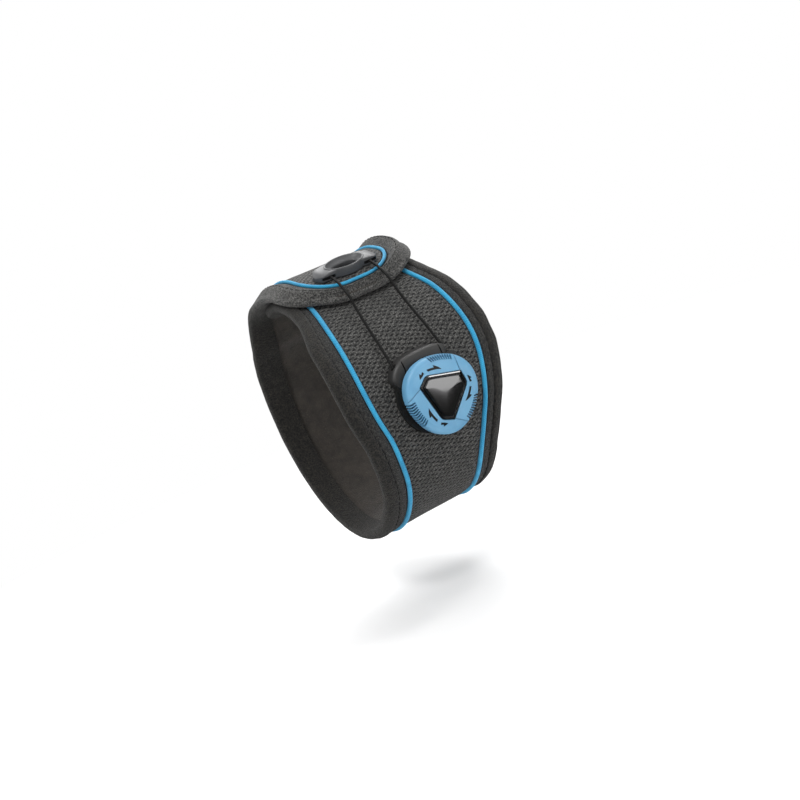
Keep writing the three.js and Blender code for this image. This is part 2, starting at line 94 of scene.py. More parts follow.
def linear(colour):
    parts = [int(colour[i:i + 2], 16) / 255 for i in (1, 3, 5)]
    return tuple(c / 12.92 if c < 0.04045 else ((c + 0.055) / 1.055) ** 2.4 for c in parts) + (1.0,)


# Object from points in mm and lists of faces, with uv for every face corner. Where the sum of the faces'
# signed volumes is negative they are turned round, so that they look outward
def makeMesh(name, points, faces, uv=None, sharp=40, outward=True):
    points = np.asarray(points, float).reshape(-1, 3)
    faces = [np.asarray(f, int) for f in faces if len(f)]
    volume = 0
    for f in faces:
        for k in range(1, f.shape[1] - 1):
            volume += np.einsum("ij,ij->", points[f[:, 0]], np.cross(points[f[:, k]], points[f[:, k + 1]]))
    if outward and volume < 0:
        faces = [f[:, ::-1] for f in faces]
        uv = uv and [w[:, ::-1] for w in uv]
    corners = np.concatenate([f.ravel() for f in faces])
    totals = np.concatenate([np.full(len(f), f.shape[1]) for f in faces])
    mesh = bpy.data.meshes.new(name)
    mesh.vertices.add(len(points))
    mesh.vertices.foreach_set("co", (points * mm).astype(np.float32).ravel())
    mesh.loops.add(len(corners))
    mesh.loops.foreach_set("vertex_index", corners.astype(np.int32))
    mesh.polygons.add(len(totals))
    mesh.polygons.foreach_set("loop_start", np.concatenate([[0], np.cumsum(totals)[:-1]]).astype(np.int32))
    mesh.update(calc_edges=True)
    if uv is not None:
        flat = np.concatenate([w.reshape(-1, 2) for w in uv])
        mesh.uv_layers.new(name="UVMap").data.foreach_set("uv", flat.astype(np.float32).ravel())
    mesh.shade_smooth()
    mesh.set_sharp_from_angle(angle=math.radians(sharp))
    made = bpy.data.objects.new(name, mesh)
    scene.collection.objects.link(made)
    return made


def setMask(made, name, values):  # 0 to 1 at each point, for the material to read
    mask = made.data.attributes.new(name, "FLOAT", "POINT")
    mask.data.foreach_set("value", np.ravel(values).astype(np.float32))


# Quads of a grid of points, with their uv from u at each row and v at each column
def gridFaces(rows, columns, wrapRows=False, wrapColumns=False, u=None, v=None):
    r = np.arange(rows if wrapRows else rows - 1)
    c = np.arange(columns if wrapColumns else columns - 1)
    r, c = (g.ravel() for g in np.meshgrid(r, c, indexing="ij"))
    r2, c2 = (r + 1) % rows, (c + 1) % columns
    quads = np.stack([r * columns + c, r * columns + c2, r2 * columns + c2, r2 * columns + c], 1)
    if u is None:
        return quads, None
    uv = np.stack([spread(u[r + i], v[c + j]) for i, j in ((0, 0), (0, 1), (1, 1), (1, 0))], 1)
    return quads, uv


# Faces of a closed tube whose points are a run of rings: its wall, and a flat face at each end
def tubeFaces(rows, columns):
    wall, _ = gridFaces(rows, columns, False, True)
    ring = np.arange(columns)
    return [wall, np.array([ring[::-1], ring + (rows - 1) * columns])]


# Quads of a closed slab whose points are a grid of one face and then the same grid of the other
def slabFaces(rows, columns):
    low, _ = gridFaces(rows, columns)
    half = rows * columns
    i = np.arange(half).reshape(rows, columns)

    def wall(line):
        return np.stack([line[1:], line[:-1], line[:-1] + half, line[1:] + half], 1)
    rim = [wall(i[:, 0])[:, ::-1], wall(i[:, -1]), wall(i[0]), wall(i[-1])[:, ::-1]]
    return np.concatenate([low, low[:, ::-1] + half, *rim])


def makeTool(name, rings):  # closed solid through a run of rings, to be joined to a piece or cut from it
    rings = np.asarray(rings, float)
    return makeMesh(name, rings, tubeFaces(*rings.shape[:2]))


# Joins each tool to the target's mesh or cuts it away, then merges the points that lie in one place
def carve(target, *steps):
    for tool, operation in steps:
        modifier = target.modifiers.new("cut", "BOOLEAN")
        modifier.operation, modifier.object, modifier.solver = operation, tool, "EXACT"
        graph = bpy.context.evaluated_depsgraph_get()
        graph.update()
        made = bpy.data.meshes.new_from_object(target.evaluated_get(graph))
        target.modifiers.clear()
        old, target.data = target.data, made
        bpy.data.meshes.remove(old)
        bpy.data.objects.remove(tool)
    clean = bmesh.new()
    clean.from_mesh(target.data)
    bmesh.ops.remove_doubles(clean, verts=clean.verts, dist=0.01 * mm)
    bmesh.ops.dissolve_degenerate(clean, edges=clean.edges, dist=0.005 * mm)
    clean.to_mesh(target.data)
    clean.free()
    target.data.name = target.name
    target.data.shade_smooth()
    target.data.set_sharp_from_angle(angle=math.radians(30))


# Shape of the strap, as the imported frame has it. Angles are degrees round it, 0 in front and 90 on top

shape = {
    "halfHeight": 45.3, "halfDepth": 40.55, "taper": 0.02, "width": 52,
    "baseThickness": 1.8, "meshBottom": 2.1, "meshTop": 3.1, "bindingTop": 3.1, "bindingBottom": -1.3,
    "innerEnd": 112, "flapEnd": -309, "flapDegree": 0.8827,  # mm along the flap for each degree
    "elbowBorder": 10, "wristBorder": 9,
    "flapElbowBorder": 12, "flapWristBorder": 10.6, "flapFrontBorder": 8.4,
    "climbStart": -220, "climbEnd": -247, "flapLift": 5.85, "flapFrontLift": 4.95, "droop": 1.1,
    "innerCorner": 5, "flapCorner": 26.5,  # length of the rows that are kept for the corners
    "pipingHeight": 3.05, "pipingRadius": 0.95,
}
# Edges of the strap: angle, then the elbow edge and the wrist edge as shares of the width
outline = np.array([
    [112, -0.5, 0.52], [80, -0.538, 0.548], [60, -0.567, 0.581], [45, -0.596, 0.655], [25, -0.616, 0.703],
    [12, -0.619, 0.7], [0, -0.602, 0.663], [-12, -0.558, 0.61], [-22, -0.534, 0.555], [-35, -0.506, 0.505],
    [-50, -0.496, 0.486], [-90, -0.494, 0.486], [-180, -0.51, 0.51], [-230, -0.548, 0.548],
    [-262, -0.567, 0.577], [-309, -0.577, 0.577],
])[::-1]


# Edge of the strap at each angle: a cubic between the outline's rows that keeps its slope from row to row
def outlineAt(angle, column):
    a, v = outline[:, 0], outline[:, column]
    slope = np.gradient(v, a)
    slope[1:-1] = (v[2:] - v[:-2]) / (a[2:] - a[:-2])
    at = np.clip(angle, a[0], a[-1])
    k = np.clip(np.searchsorted(a, at, side="right") - 1, 0, len(a) - 2)
    span, rise = a[k + 1] - a[k], v[k + 1] - v[k]
    t = (at - a[k]) / span
    bend = (1 - t) * (slope[k] * span - rise) - t * (slope[k + 1] * span - rise)
    return (v[k] + t * rise + t * (1 - t) * bend) * shape["width"]


# Lift of the lap: it climbs onto the strap's start, is pressed down at its front and droops at its elbow edge
def lapLift(angle, x):
    climbed = smooth(-angle, -shape["climbStart"], -shape["climbEnd"])
    pressed = 1 - np.clip((angle - shape["flapEnd"]) * shape["flapDegree"] / shape["flapFrontBorder"], 0, 1)
    raised = shape["flapLift"] - pressed * (shape["flapLift"] - shape["flapFrontLift"])
    past = np.maximum(0, outlineAt(angle, 1) + shape["flapElbowBorder"] - x) / shape["flapElbowBorder"]
    return climbed * (raised - shape["droop"] * past)


# Point on the strap's oval, which tapers along x, moved out along its normal by a height
def pointRound(angle, x, height):
    turn = np.radians(angle)
    high, deep = shape["halfHeight"] - shape["taper"] * x, shape["halfDepth"] - shape["taper"] * x
    outY, outZ = -np.cos(turn) / deep, np.sin(turn) / high
    out = height / np.hypot(outY, outZ)
    return spread(x, -deep * np.cos(turn) + out * outY, high * np.sin(turn) + out * outZ)


def strapPoint(angle, x, height):
    return pointRound(angle, x, height + lapLift(angle, x))


def onFlap(angle):
    return smooth(-np.asarray(angle, float), 90, 240)


# A lane is a line round the strap at its own distance from the edges, first on the strap, then on the flap
outerLane = {"elbow": (0, 0), "wrist": (0, 0), "end": 0, "flapRadius": 24.5, "innerRadius": 6}
pipingLane = {
    "elbow": (shape["elbowBorder"], shape["flapElbowBorder"]),
    "wrist": (shape["wristBorder"], shape["flapWristBorder"]),
    "end": shape["flapFrontBorder"], "flapRadius": 15, "innerRadius": 3,
}


# Rows across the strap between a lane's sides, with quarter rounds at both ends: angle, elbow x and wrist x
def laneRows(lane, inset, sideSteps=440, flapSteps=22, innerSteps=8):
    degree, first, last = shape["flapDegree"], shape["innerEnd"], shape["flapEnd"]
    flapCorner, innerCorner = max(0.2, lane["flapRadius"] - inset), max(0.2, lane["innerRadius"] - inset)
    end = (lane["end"] + inset) / degree
    innerTurn = np.linspace(math.pi / 2, 0, innerSteps + 1)
    flapTurn = np.linspace(0, math.pi / 2, flapSteps + 1)
    sideFirst = first - (shape["flapFrontBorder"] + shape["innerCorner"]) / degree
    sideLast = last + shape["flapCorner"] / degree
    angle = np.concatenate([
        first - end - innerCorner / degree * (1 - np.sin(innerTurn)),
        np.linspace(sideFirst, sideLast, sideSteps + 1),
        last + end + flapCorner / degree * (1 - np.sin(flapTurn)),
    ])
    cut = np.concatenate([
        innerCorner * (1 - np.cos(innerTurn)), np.zeros(sideSteps + 1), flapCorner * (1 - np.cos(flapTurn)),
    ])
    flap = onFlap(angle)
    elbow = outlineAt(angle, 1) + lerp(*lane["elbow"], flap) + inset + cut
    wrist = outlineAt(angle, 2) - lerp(*lane["wrist"], flap) - inset - cut
    return angle, elbow, wrist


# Closed loop of a lane, down its elbow side and back up its wrist side: angle and x
def laneLoop(lane, inset, **steps):
    angle, elbow, wrist = laneRows(lane, inset, **steps)
    return np.concatenate([angle, angle[::-1]]), np.concatenate([elbow, wrist[::-1]])


# Material helpers

def addNode(tree, kind, inputs=None, **settings):
    node = tree.nodes.new("ShaderNode" + kind)
    for key, value in settings.items():
        setattr(node, key, value)
    for key, value in (inputs or {}).items():
        if isinstance(value, bpy.types.NodeSocket):
            tree.links.new(value, node.inputs[key])
        else:
            node.inputs[key].default_value = value
    return node


def math2(tree, operation, a, b=0.0):
    return addNode(tree, "Math", {0: a, 1: b}, operation=operation).outputs[0]


def plus(tree, a, b):
    return math2(tree, "ADD", a, b)


def minus(tree, a, b):
    return math2(tree, "SUBTRACT", a, b)


def times(tree, a, b):
    return math2(tree, "MULTIPLY", a, b)


def mixColour(tree, factor, a, b):
    return addNode(tree, "Mix", {0: factor, 6: a, 7: b}, data_type="RGBA").outputs[2]


def mapRange(tree, value, low, high, to=(0.0, 1.0)):
    inputs = {"Value": value, "From Min": low, "From Max": high, "To Min": to[0], "To Max": to[1]}
    return addNode(tree, "MapRange", inputs).outputs[0]


def bump(tree, height, strength, distance, **normal):
    inputs = {"Height": height, "Strength": strength, "Distance": distance, **normal}
    return addNode(tree, "Bump", inputs).outputs[0]


def objectNoise(tree, scale, detail, roughness=0.55):
    place = addNode(tree, "TexCoord").outputs["Object"]
    inputs = {"Vector": place, "Scale": scale, "Detail": detail, "Roughness": roughness}
    return addNode(tree, "TexNoise", inputs).outputs[0]


def uvWave(tree, scale, distortion, direction):
    place = addNode(tree, "UVMap", uv_map="UVMap").outputs[0]
    inputs = {"Vector": place, "Scale": scale, "Distortion": distortion, "Detail": 1.0}
    return addNode(tree, "TexWave", inputs, bands_direction=direction).outputs[1]


def uvParts(tree):
    split = addNode(tree, "SeparateXYZ", {0: addNode(tree, "UVMap", uv_map="UVMap").outputs[0]})
    return split.outputs[0], split.outputs[1]


def maskOf(tree, name):
    return addNode(tree, "Attribute", attribute_name=name).outputs[2]


def newMaterial(name, roughness, inputs=None):
    material = bpy.data.materials.new(name)
    material.use_nodes = True
    tree = material.node_tree
    tree.nodes.clear()
    shader = addNode(tree, "BsdfPrincipled", {"Roughness": roughness, **(inputs or {})})
    addNode(tree, "OutputMaterial", {"Surface": shader.outputs[0]})
    return material, tree, shader


def plug(tree, shader, **sockets):
    names = {"colour": "Base Color", "roughness": "Roughness", "normal": "Normal"}
    for key, value in sockets.items():
        tree.links.new(value, shader.inputs[names[key]])


# Grain of the cloths and plastics: a fine noise and a broad mottle, each with its scale, detail and roughness
def makeGrainGroup():
    group = bpy.data.node_groups.new("grain", "ShaderNodeTree")
    for noise in ("Fine", "Mottle"):
        group.interface.new_socket(noise, in_out="OUTPUT", socket_type="NodeSocketFloat")
        for value in ("Scale", "Detail", "Roughness"):
            group.interface.new_socket(f"{noise} {value}", in_out="INPUT", socket_type="NodeSocketFloat")
    given, out = group.nodes.new("NodeGroupInput"), group.nodes.new("NodeGroupOutput")
    for k in (0, 1):
        group.links.new(objectNoise(group, *given.outputs[3 * k:3 * k + 3]), out.inputs[k])
    return group


grainGroup = makeGrainGroup()


def grain(tree, fine, mottle):
    return addNode(tree, "Group", dict(enumerate((*fine, *mottle))), node_tree=grainGroup).outputs[:2]


# Plain hard finish: a colour smudged with a darker one, fine grain, and edges that catch light as if rounded
def makePlain(name, colour, roughness, grainDepth=0.15, coat=0.0):
    material, tree, shader = newMaterial(name, roughness, {"Coat Weight": coat, "Coat Roughness": 0.08})
    fine, smudge = grain(tree, (2600, 2, 0.55), (120, 4, 0.55))
    dark = tuple(c * 0.8 for c in linear(colour)[:3]) + (1.0,)
    rounded = addNode(tree, "Bevel", {"Radius": 0.00022}, samples=4).outputs[0]
    plug(tree, shader, colour=mixColour(tree, mapRange(tree, smudge, 0.3, 0.7), dark, linear(colour)),
         roughness=mapRange(tree, smudge, 0.2, 0.8, (roughness * 0.85, roughness * 1.15)),
         normal=bump(tree, fine, grainDepth, 0.0001, Normal=rounded))
    return material


# Open mesh cloth: oval holes in a brick pattern that is turned a little on the strap

meshCloth = {
    "pitchAlong": 1.03, "pitchAcross": 3.45, "turn": 8.0, "holeAlong": 0.34, "holeAcross": 0.78,
    "dimple": 0.09, "stepAlong": 0.3, "stepAcross": 0.45,
    "seamGap": 0.3, "tuck": 0.12, "puff": 0.22, "unevenness": 0.1,
    # darkThreadAndShade colours the dark threads and the painted shade round the holes; hole is the painted
    # shade inside them
    "thread": "#706f6c", "darkThreadAndShade": "#242423", "hole": "#030303", "roughness": 0.85,
}
meshCos, meshSin = math.cos(math.radians(meshCloth["turn"])), math.sin(math.radians(meshCloth["turn"]))


# Length along the strap's mesh from its inner end, in mm, at each angle
def strapRun(angle):
    turns = np.linspace(shape["innerEnd"], shape["flapEnd"], 1700)
    run = runLength(strapPoint(turns, np.zeros(1700), shape["meshTop"]), False)
    return np.interp(-np.asarray(angle, float), -turns, run)


# 1 in a hole's middle to 0 between holes, by the distance from the nearest middle; u runs along the strap and
# v across it
def holeDepth(u, v):
    u, v = u * meshCos + v * meshSin, v * meshCos - u * meshSin
    row = np.floor(u / meshCloth["pitchAlong"])
    along = (u / meshCloth["pitchAlong"] - row - 0.5) * meshCloth["pitchAlong"]
    shift = v / meshCloth["pitchAcross"] + 0.5 * (row % 2)
    across = (shift - np.floor(shift) - 0.5) * meshCloth["pitchAcross"]
    away = np.hypot(along / meshCloth["holeAlong"], across / meshCloth["holeAcross"])
    return 1 - smooth(away, 0.5, 1.5)


def makeMeshMaterial():
    material, tree, shader = newMaterial("mesh cloth", meshCloth["roughness"], {"Sheen Weight": 0.1})
    u, v = uvParts(tree)
    turnedU = plus(tree, times(tree, u, meshCos), times(tree, v, meshSin))
    turnedV = minus(tree, times(tree, v, meshCos), times(tree, u, meshSin))
    # The same distance from a hole's middle as in holeDepth, with rows that sway and ragged rims
    sway = times(tree, minus(tree, objectNoise(tree, 260, 2), 0.5), 0.35)
    along = math2(tree, "DIVIDE", plus(tree, turnedU, sway), meshCloth["pitchAlong"])
    odd = math2(tree, "FLOORED_MODULO", math2(tree, "FLOOR", along), 2.0)
    across = plus(tree, math2(tree, "DIVIDE", turnedV, meshCloth["pitchAcross"]), times(tree, odd, 0.5))
    away = []
    for place, ratio in ((along, meshCloth["pitchAlong"] / meshCloth["holeAlong"]),
                         (across, meshCloth["pitchAcross"] / meshCloth["holeAcross"])):
        part = times(tree, minus(tree, math2(tree, "FRACT", place), 0.5), ratio)
        away.append(times(tree, part, part))
    ragged = times(tree, minus(tree, objectNoise(tree, 1500, 2), 0.5), 1.3)
    distance = plus(tree, math2(tree, "SQRT", plus(tree, *away)), ragged)
    hole = mapRange(tree, distance, 1.15, 0.75)
    shade = times(tree, mapRange(tree, distance, 2.0, 0.8), 0.4)
    knots, mottle = grain(tree, (2000, 2, 0.6), (300, 4, 0.55))
    dark = linear(meshCloth["darkThreadAndShade"])
    colour = mixColour(tree, mapRange(tree, knots, 0.44, 0.68), dark, linear(meshCloth["thread"]))
    colour = mixColour(tree, mapRange(tree, mottle, 0.35, 0.7, (0.0, 0.3)), colour, dark)
    # Painted shade: the cloth darkens toward each hole, and the holes are coloured near black for the shade
    # inside them
    colour = mixColour(tree, shade, colour, dark)
    colour = mixColour(tree, times(tree, hole, 0.95), colour, linear(meshCloth["hole"]))
    height = plus(tree, times(tree, knots, 0.7), times(tree, mottle, 0.3))
    height = minus(tree, height, plus(tree, hole, shade))
    plug(tree, shader, colour=colour, normal=bump(tree, height, 0.7, 0.0003))
    return material


# Mesh panel: a grid along the strap, its top puffed and dimpled at the holes, clipped to the panel's outline
# by moving the points past it onto it, and closed by a plain underside
def makeMeshPanel():
    stepU, stepV = meshCloth["stepAlong"], meshCloth["stepAcross"]
    loopAngle, loopElbow, loopWrist = laneRows(pipingLane, shape["pipingRadius"] + meshCloth["seamGap"])
    order = np.argsort(loopAngle)
    ends = strapRun([loopAngle.max(), loopAngle.min()])
    count = int((ends[1] - ends[0]) / stepU)
    table = np.linspace(loopAngle.max(), loopAngle.min(), 3000)
    angle = np.interp(np.linspace(*ends, count + 1), strapRun(table), table)
    elbow = np.interp(angle, loopAngle[order], loopElbow[order])
    wrist = np.interp(angle, loopAngle[order], loopWrist[order])
    sides = np.stack([elbow, wrist], 1)
    u = strapRun(angle)
    low, high = elbow.min() - stepV, wrist.max() + stepV
    v = np.arange(math.floor(low / stepV), math.ceil(high / stepV) + 1) * stepV
    rows, columns = len(u), len(v)
    snap = 0.4 * stepV
    x = np.broadcast_to(v, (rows, columns)).copy()
    outLow, outHigh = x < elbow[:, None] + snap, x > wrist[:, None] - snap
    x = np.where(outLow, elbow[:, None], np.where(outHigh, wrist[:, None], x))
    # In each row the points that share a place past an edge share the number of the one on the edge
    number = np.arange(rows * columns).reshape(rows, columns)
    firstIn, lastIn = np.argmax(~outLow, 1) - 1, columns - np.argmax(~outHigh[:, ::-1], 1)
    elbowTop, wristTop = number[np.arange(rows), firstIn], number[np.arange(rows), lastIn]
    column = np.arange(columns)[None, :]
    number = np.where(column <= firstIn[:, None], elbowTop[:, None], number)
    number = np.where(column >= lastIn[:, None], wristTop[:, None], number)
    edge = np.minimum(x - elbow[:, None], wrist[:, None] - x)
    edge = np.minimum(edge, np.minimum(u - u[0], u[-1] - u)[:, None])
    uu = np.broadcast_to(u[:, None], x.shape)
    puff = meshCloth["puff"] * smooth(edge, 0, 2.4)
    puff = puff + meshCloth["unevenness"] * ripple(uu, x, 26, 3) * smooth(edge, 0, 4)
    dimples = meshCloth["dimple"] * holeDepth(uu, x) * smooth(edge, 0.2, 0.8)
    top = strapPoint(angle[:, None], x, shape["meshTop"] - meshCloth["tuck"] + puff - dimples)
    bottom = strapPoint(angle[:, None], sides, shape["meshBottom"])
    points = np.concatenate([top.reshape(-1, 3), bottom.reshape(-1, 3)])
    place = np.concatenate([spread(uu, x).reshape(-1, 2), spread(u[:, None], sides).reshape(-1, 2)])
    quads = np.stack([number[:-1, :-1], number[:-1, 1:], number[1:, 1:], number[1:, :-1]], -1).reshape(-1, 4)
    whole = (quads != np.roll(quads, -1, 1)).all(1)
    three = quads[~whole]
    triangles = []
    for drop in range(4):
        same = three[:, drop] == three[:, (drop + 1) % 4]
        picked = np.delete(three[same], drop, 1)
        triangles.append(picked[(picked != np.roll(picked, -1, 1)).all(1)])
    triangles = np.unique(np.concatenate(triangles), axis=0)
    under = rows * columns + np.arange(rows * 2).reshape(rows, 2)
    closing = [
        [under[:-1, 0], under[1:, 0], under[1:, 1], under[:-1, 1]],
        [elbowTop[:-1], elbowTop[1:], under[1:, 0], under[:-1, 0]],
        [wristTop[:-1], under[:-1, 1], under[1:, 1], wristTop[1:]],
    ]
    caps = []
    for row in (0, rows - 1):
        across = number[row, firstIn[row]:lastIn[row] + 1]
        fan = np.stack([np.full(len(across) - 1, under[row, 0]), across[:-1], across[1:]], 1)
        cap = np.concatenate([fan, [[under[row, 0], across[-1], under[row, 1]]]])
        caps.append(cap[:, ::-1] if row == 0 else cap)
    quads = np.concatenate([quads[whole], *(np.stack(f, 1) for f in closing)])
    faces = [quads, np.concatenate([triangles, *caps])]
    used = np.unique(np.concatenate([f.ravel() for f in faces]))
    renumber = np.zeros(len(points), int)
    renumber[used] = np.arange(len(used))
    uv = [place[f] for f in faces]
    made = makeMesh("meshCloth", points[used], [renumber[f] for f in faces], uv, sharp=70)
    print("mesh cloth", len(made.data.polygons))
    return made


# Cloths of the border and the inside

borderCloth = {
    # The flap's cloth is lighter than the tape: its heather is real, its lighter tone painted light
    "tape": "#0a0908", "tapeLight": "#3e3a32", "flap": "#191918", "flapLight": "#767572",
    "knit": "#0b0b0a", "knitLight": "#55534f", "roughness": 0.9,
    "inside": "#26221e", "insideLight": "#3a342e", "fuzz": "#544c44",
}


# Border cloth: tape on the rim side, knit on the piping side, and one heathered cloth all over the flap. The
# heather is the cloth's own, and its lighter tone is painted light on the flap, which faces up
def makeBorderMaterial():
    sheen = {"Sheen Weight": 0.12, "Sheen Roughness": 0.5}
    material, tree, shader = newMaterial("binding cloth", borderCloth["roughness"], sheen)
    _, v = uvParts(tree)
    flap = maskOf(tree, "flap")
    isKnit = mapRange(tree, v, 0.52, 0.48)
    fine, mottle = grain(tree, (2600, 4, 0.7), (420, 5, 0.65))
    speckle, yarn = grain(tree, (1800, 2.5, 0.6), (1900, 2.5, 0.6))
    speckle, yarn = mapRange(tree, speckle, 0.42, 0.62), mapRange(tree, yarn, 0.4, 0.64)
    weave, loops = uvWave(tree, 2.6, 1.2, "DIAGONAL"), uvWave(tree, 1.7, 3.0, "X")
    shares = {
        "flap": times(tree, yarn, mapRange(tree, mottle, 0.15, 0.65)),
        "tape": times(tree, speckle, mapRange(tree, mottle, 0.2, 0.8)),
        # Knit: the yarn's loops as a pattern, with painted shade darker in the hollows between them
        "knit": times(tree, speckle, loops),
    }
    cloth = {name: mixColour(tree, share, linear(borderCloth[name]), linear(borderCloth[name + "Light"]))
             for name, share in shares.items()}
    # Painted light: the flap's border takes the lighter heathered cloth
    colour = mixColour(tree, flap, mixColour(tree, isKnit, cloth["tape"], cloth["knit"]), cloth["flap"])
    height = plus(tree, times(tree, weave, 0.25), fine)
    height = plus(tree, height, times(tree, times(tree, loops, isKnit), 0.8))
    height = plus(tree, height, plus(tree, times(tree, mottle, 0.6), times(tree, speckle, 0.8)))
    plug(tree, shader, colour=colour, normal=bump(tree, height, 0.7, 0.0003))
    return material


def makeInsideMaterial():
    material, tree, shader = newMaterial("base cloth", 0.95, {"Sheen Weight": 0.35})
    fine, mottle = grain(tree, (1800, 5, 0.75), (240, 4, 0.6))
    soft, light = linear(borderCloth["inside"]), linear(borderCloth["insideLight"])
    colour = mixColour(tree, mapRange(tree, mottle, 0.3, 0.72), soft, light)
    colour = mixColour(tree, mapRange(tree, fine, 0.55, 0.75), colour, linear(borderCloth["fuzz"]))
    plug(tree, shader, colour=colour, normal=bump(tree, plus(tree, fine, mottle), 0.7, 0.0004))
    return material


# Folded edge of the strap. Its profiles hold the share across the border, 0 at the piping and 1 at the rim, and
# the rise there

binding = {
    "seamOverlap": 1.25, "rimInset": 1.6, "innerInset": 1.3, "drawnFront": 2.8, "drawnSide": 2.3,
    "wrinkle": 0.09, "fineWrinkle": 0.04, "elbowWave": 0.06, "wristWave": 0.14,
}
bindingProfile = [
    (0.0, -0.3), (0.03, -0.08), (0.1, 0.04), (0.22, 0.1), (0.34, 0.1), (0.42, 0.02), (0.46, -0.1),
    (0.49, -0.18), (0.52, -0.02), (0.56, 0.18), (0.64, 0.27), (0.74, 0.28), (0.84, 0.2), (0.93, 0.02),
    (1.0, -0.24),
]
insideProfile = [(1.0, 0.12), (0.8, -0.1), (0.5, -0.16), (0.2, -0.08), (0.0, 0.0)]


def atFront(angle):  # share of the draw at the flap's front
    return binding["drawnFront"] / shape["flapDegree"] * smooth(-angle, 290, 309)


# Draws the rim in where the flap and the layer under it are pulled tight, and at the flap's front
def tucked(angle, x, share):
    pull = np.maximum(smooth(-angle, 205, 265), smooth(angle, 36, 60)) * (x < 0)
    return angle + share * atFront(angle), x + binding["drawnSide"] * share * pull


def flapWeight(angle):
    return onFlap(angle) * smooth(-angle, 235, 262)


# Point of the border, part of the way from the piping seam to the start of the rim's round
def borderPoint(share, seam, rim, rise, level):
    angle, x = tucked(lerp(seam[0], rim[0], share), lerp(seam[1], rim[1], share), share)
    return angle, x, level + rise


# Rise of the flap's border: a squared sine that falls to the rim and is fuller on the wrist side
def borderRise(share, angle, x):
    roll = -1.25 * smooth(share, 0.4, 1.05) + 0.75 * math.sin(math.pi * min(1, share)) ** 2
    full = smooth(x, -4, 22) * 1.9 * math.sin(math.pi * min(1, share * 0.9)) ** 1.5
    return flapWeight(angle) * (roll + full)


def borderLoops():
    return laneLoop(pipingLane, -binding["seamOverlap"]), laneLoop(outerLane, binding["rimInset"])


# Binding: a profile carried round the strap, over the border, half a turn round the rim and back inside
def makeBinding():
    seam, rim = borderLoops()
    count = len(seam[0])
    along = (shape["innerEnd"] - seam[0]) * shape["flapDegree"]
    flap = flapWeight(seam[0])
    side = np.where(np.arange(count) < count // 2, -1.0, 1.0)
    wrinkle = ripple(along, side * 40, 9, 11) * binding["wrinkle"]
    wrinkle = wrinkle + ripple(along, side * 40, 3.2, 12) * binding["fineWrinkle"]
    waves = np.where(side > 0, binding["wristWave"], binding["elbowWave"])
    edgeWave = ripple(along, side * 40, 9, 14) * waves * side
    rings, across = [], []
    for share, rise in bindingProfile:
        bulge = rise + wrinkle * smooth(share, 0.5, 0.75) + borderRise(share, *rim)
        rings.append(borderPoint(share, seam, rim, bulge, shape["bindingTop"]))
        across.append(share)
    fall = borderRise(1.0, *rim)
    top, bottom = shape["bindingTop"] - 0.3 + fall, shape["bindingBottom"] + 0.15
    for k in range(1, 10):
        turn = math.pi * k / 10
        lane = tucked(*laneLoop(outerLane, binding["rimInset"] * (1 - math.sin(turn) ** 0.8)), 1.0)
        level = (top + bottom) / 2 + (top - bottom) / 2 * math.cos(turn)
        rings.append((lane[0], lane[1] + edgeWave * math.sin(turn), level + wrinkle * math.sin(turn)))
        across.append(1 + 0.3 * k / 10)
    for share, rise in insideProfile:
        rings.append(borderPoint(share, seam, rim, rise, shape["bindingBottom"]))
        across.append(1.3 + 0.9 * (1 - share))
    inner = tucked(*laneLoop(outerLane, binding["innerInset"]), 1.0)
    hidden = ((seam, -0.32), (inner, -0.32), (inner, 2.05 + 0.5 * np.minimum(0, fall)), (seam, 2.12))
    for lane, level in hidden:
        rings.append((*lane, level))
        across.append(across[-1] + 0.3)
    across.append(across[-1] + 0.2)
    points = np.stack([strapPoint(*ring) for ring in rings], 1)
    run = runLength(points[:, len(bindingProfile)])
    quads, uv = gridFaces(count, len(rings), True, True, run, np.array(across))
    made = makeMesh("edgeBinding", points, [quads], [uv], sharp=60)
    setMask(made, "flap", np.repeat(flap, len(rings)))
    print("edge binding", len(made.data.polygons))
    return made


# Thread in the border's groove. The profile holds the share along a stitch, its share of the radius and its
# rise there

stitches = {
    "length": 2.1, "gap": 0.75, "radius": 0.19, "sides": 6, "place": 0.5, "sink": -0.06, "colour": "#0e0d0c",
}
stitchProfile = [
    (0, 0.05, -0.2), (0.04, 0.6, -0.08), (0.15, 0.95, 0.03), (0.35, 1, 0.1),
    (0.65, 1, 0.1), (0.85, 0.95, 0.03), (0.96, 0.6, -0.08), (1, 0.05, -0.2),
]


def makeStitching():
    seam, rim = borderLoops()
    rise = stitches["sink"] + borderRise(stitches["place"], *rim)
    angle, x, height = borderPoint(stitches["place"], seam, rim, rise, shape["bindingTop"])
    path = strapPoint(angle, x, height)
    out = unit(path - strapPoint(angle, x, height - 1))
    run = runLength(path)
    count = int(run[-1] / (stitches["length"] + stitches["gap"]))
    share, girth, lift = np.array(stitchProfile).T
    at = (np.arange(count)[:, None] * run[-1] / count + share * stitches["length"]).ravel()

    def follow(values, place):
        closed = np.concatenate([values, values[:1]])
        return np.stack([np.interp(place, run, closed[:, k]) for k in range(3)], -1)
    up = follow(out, at)
    sideways = unit(np.cross(follow(path, (at + 0.2) % run[-1]) - follow(path, at), up))
    centre = follow(path, at) + up * np.tile(lift, count)[:, None]
    points = ringsRound(centre, sideways, up, stitches["radius"] * np.tile(girth, count), stitches["sides"])
    offset = (np.arange(count) * len(share) * stitches["sides"])[:, None, None]
    faces = [(f + offset).reshape(-1, f.shape[1]) for f in tubeFaces(len(share), stitches["sides"])]
    print("stitching", count)
    return makeMesh("stitching", points, faces, sharp=80)


# Padded base layer under the mesh and the border: a sheet with two faces, thinned where the flap's rim falls

basePad = {"inset": 1.35, "columns": 27, "wave": 18, "swell": 0.16, "most": 0.2, "thinned": 0.55}


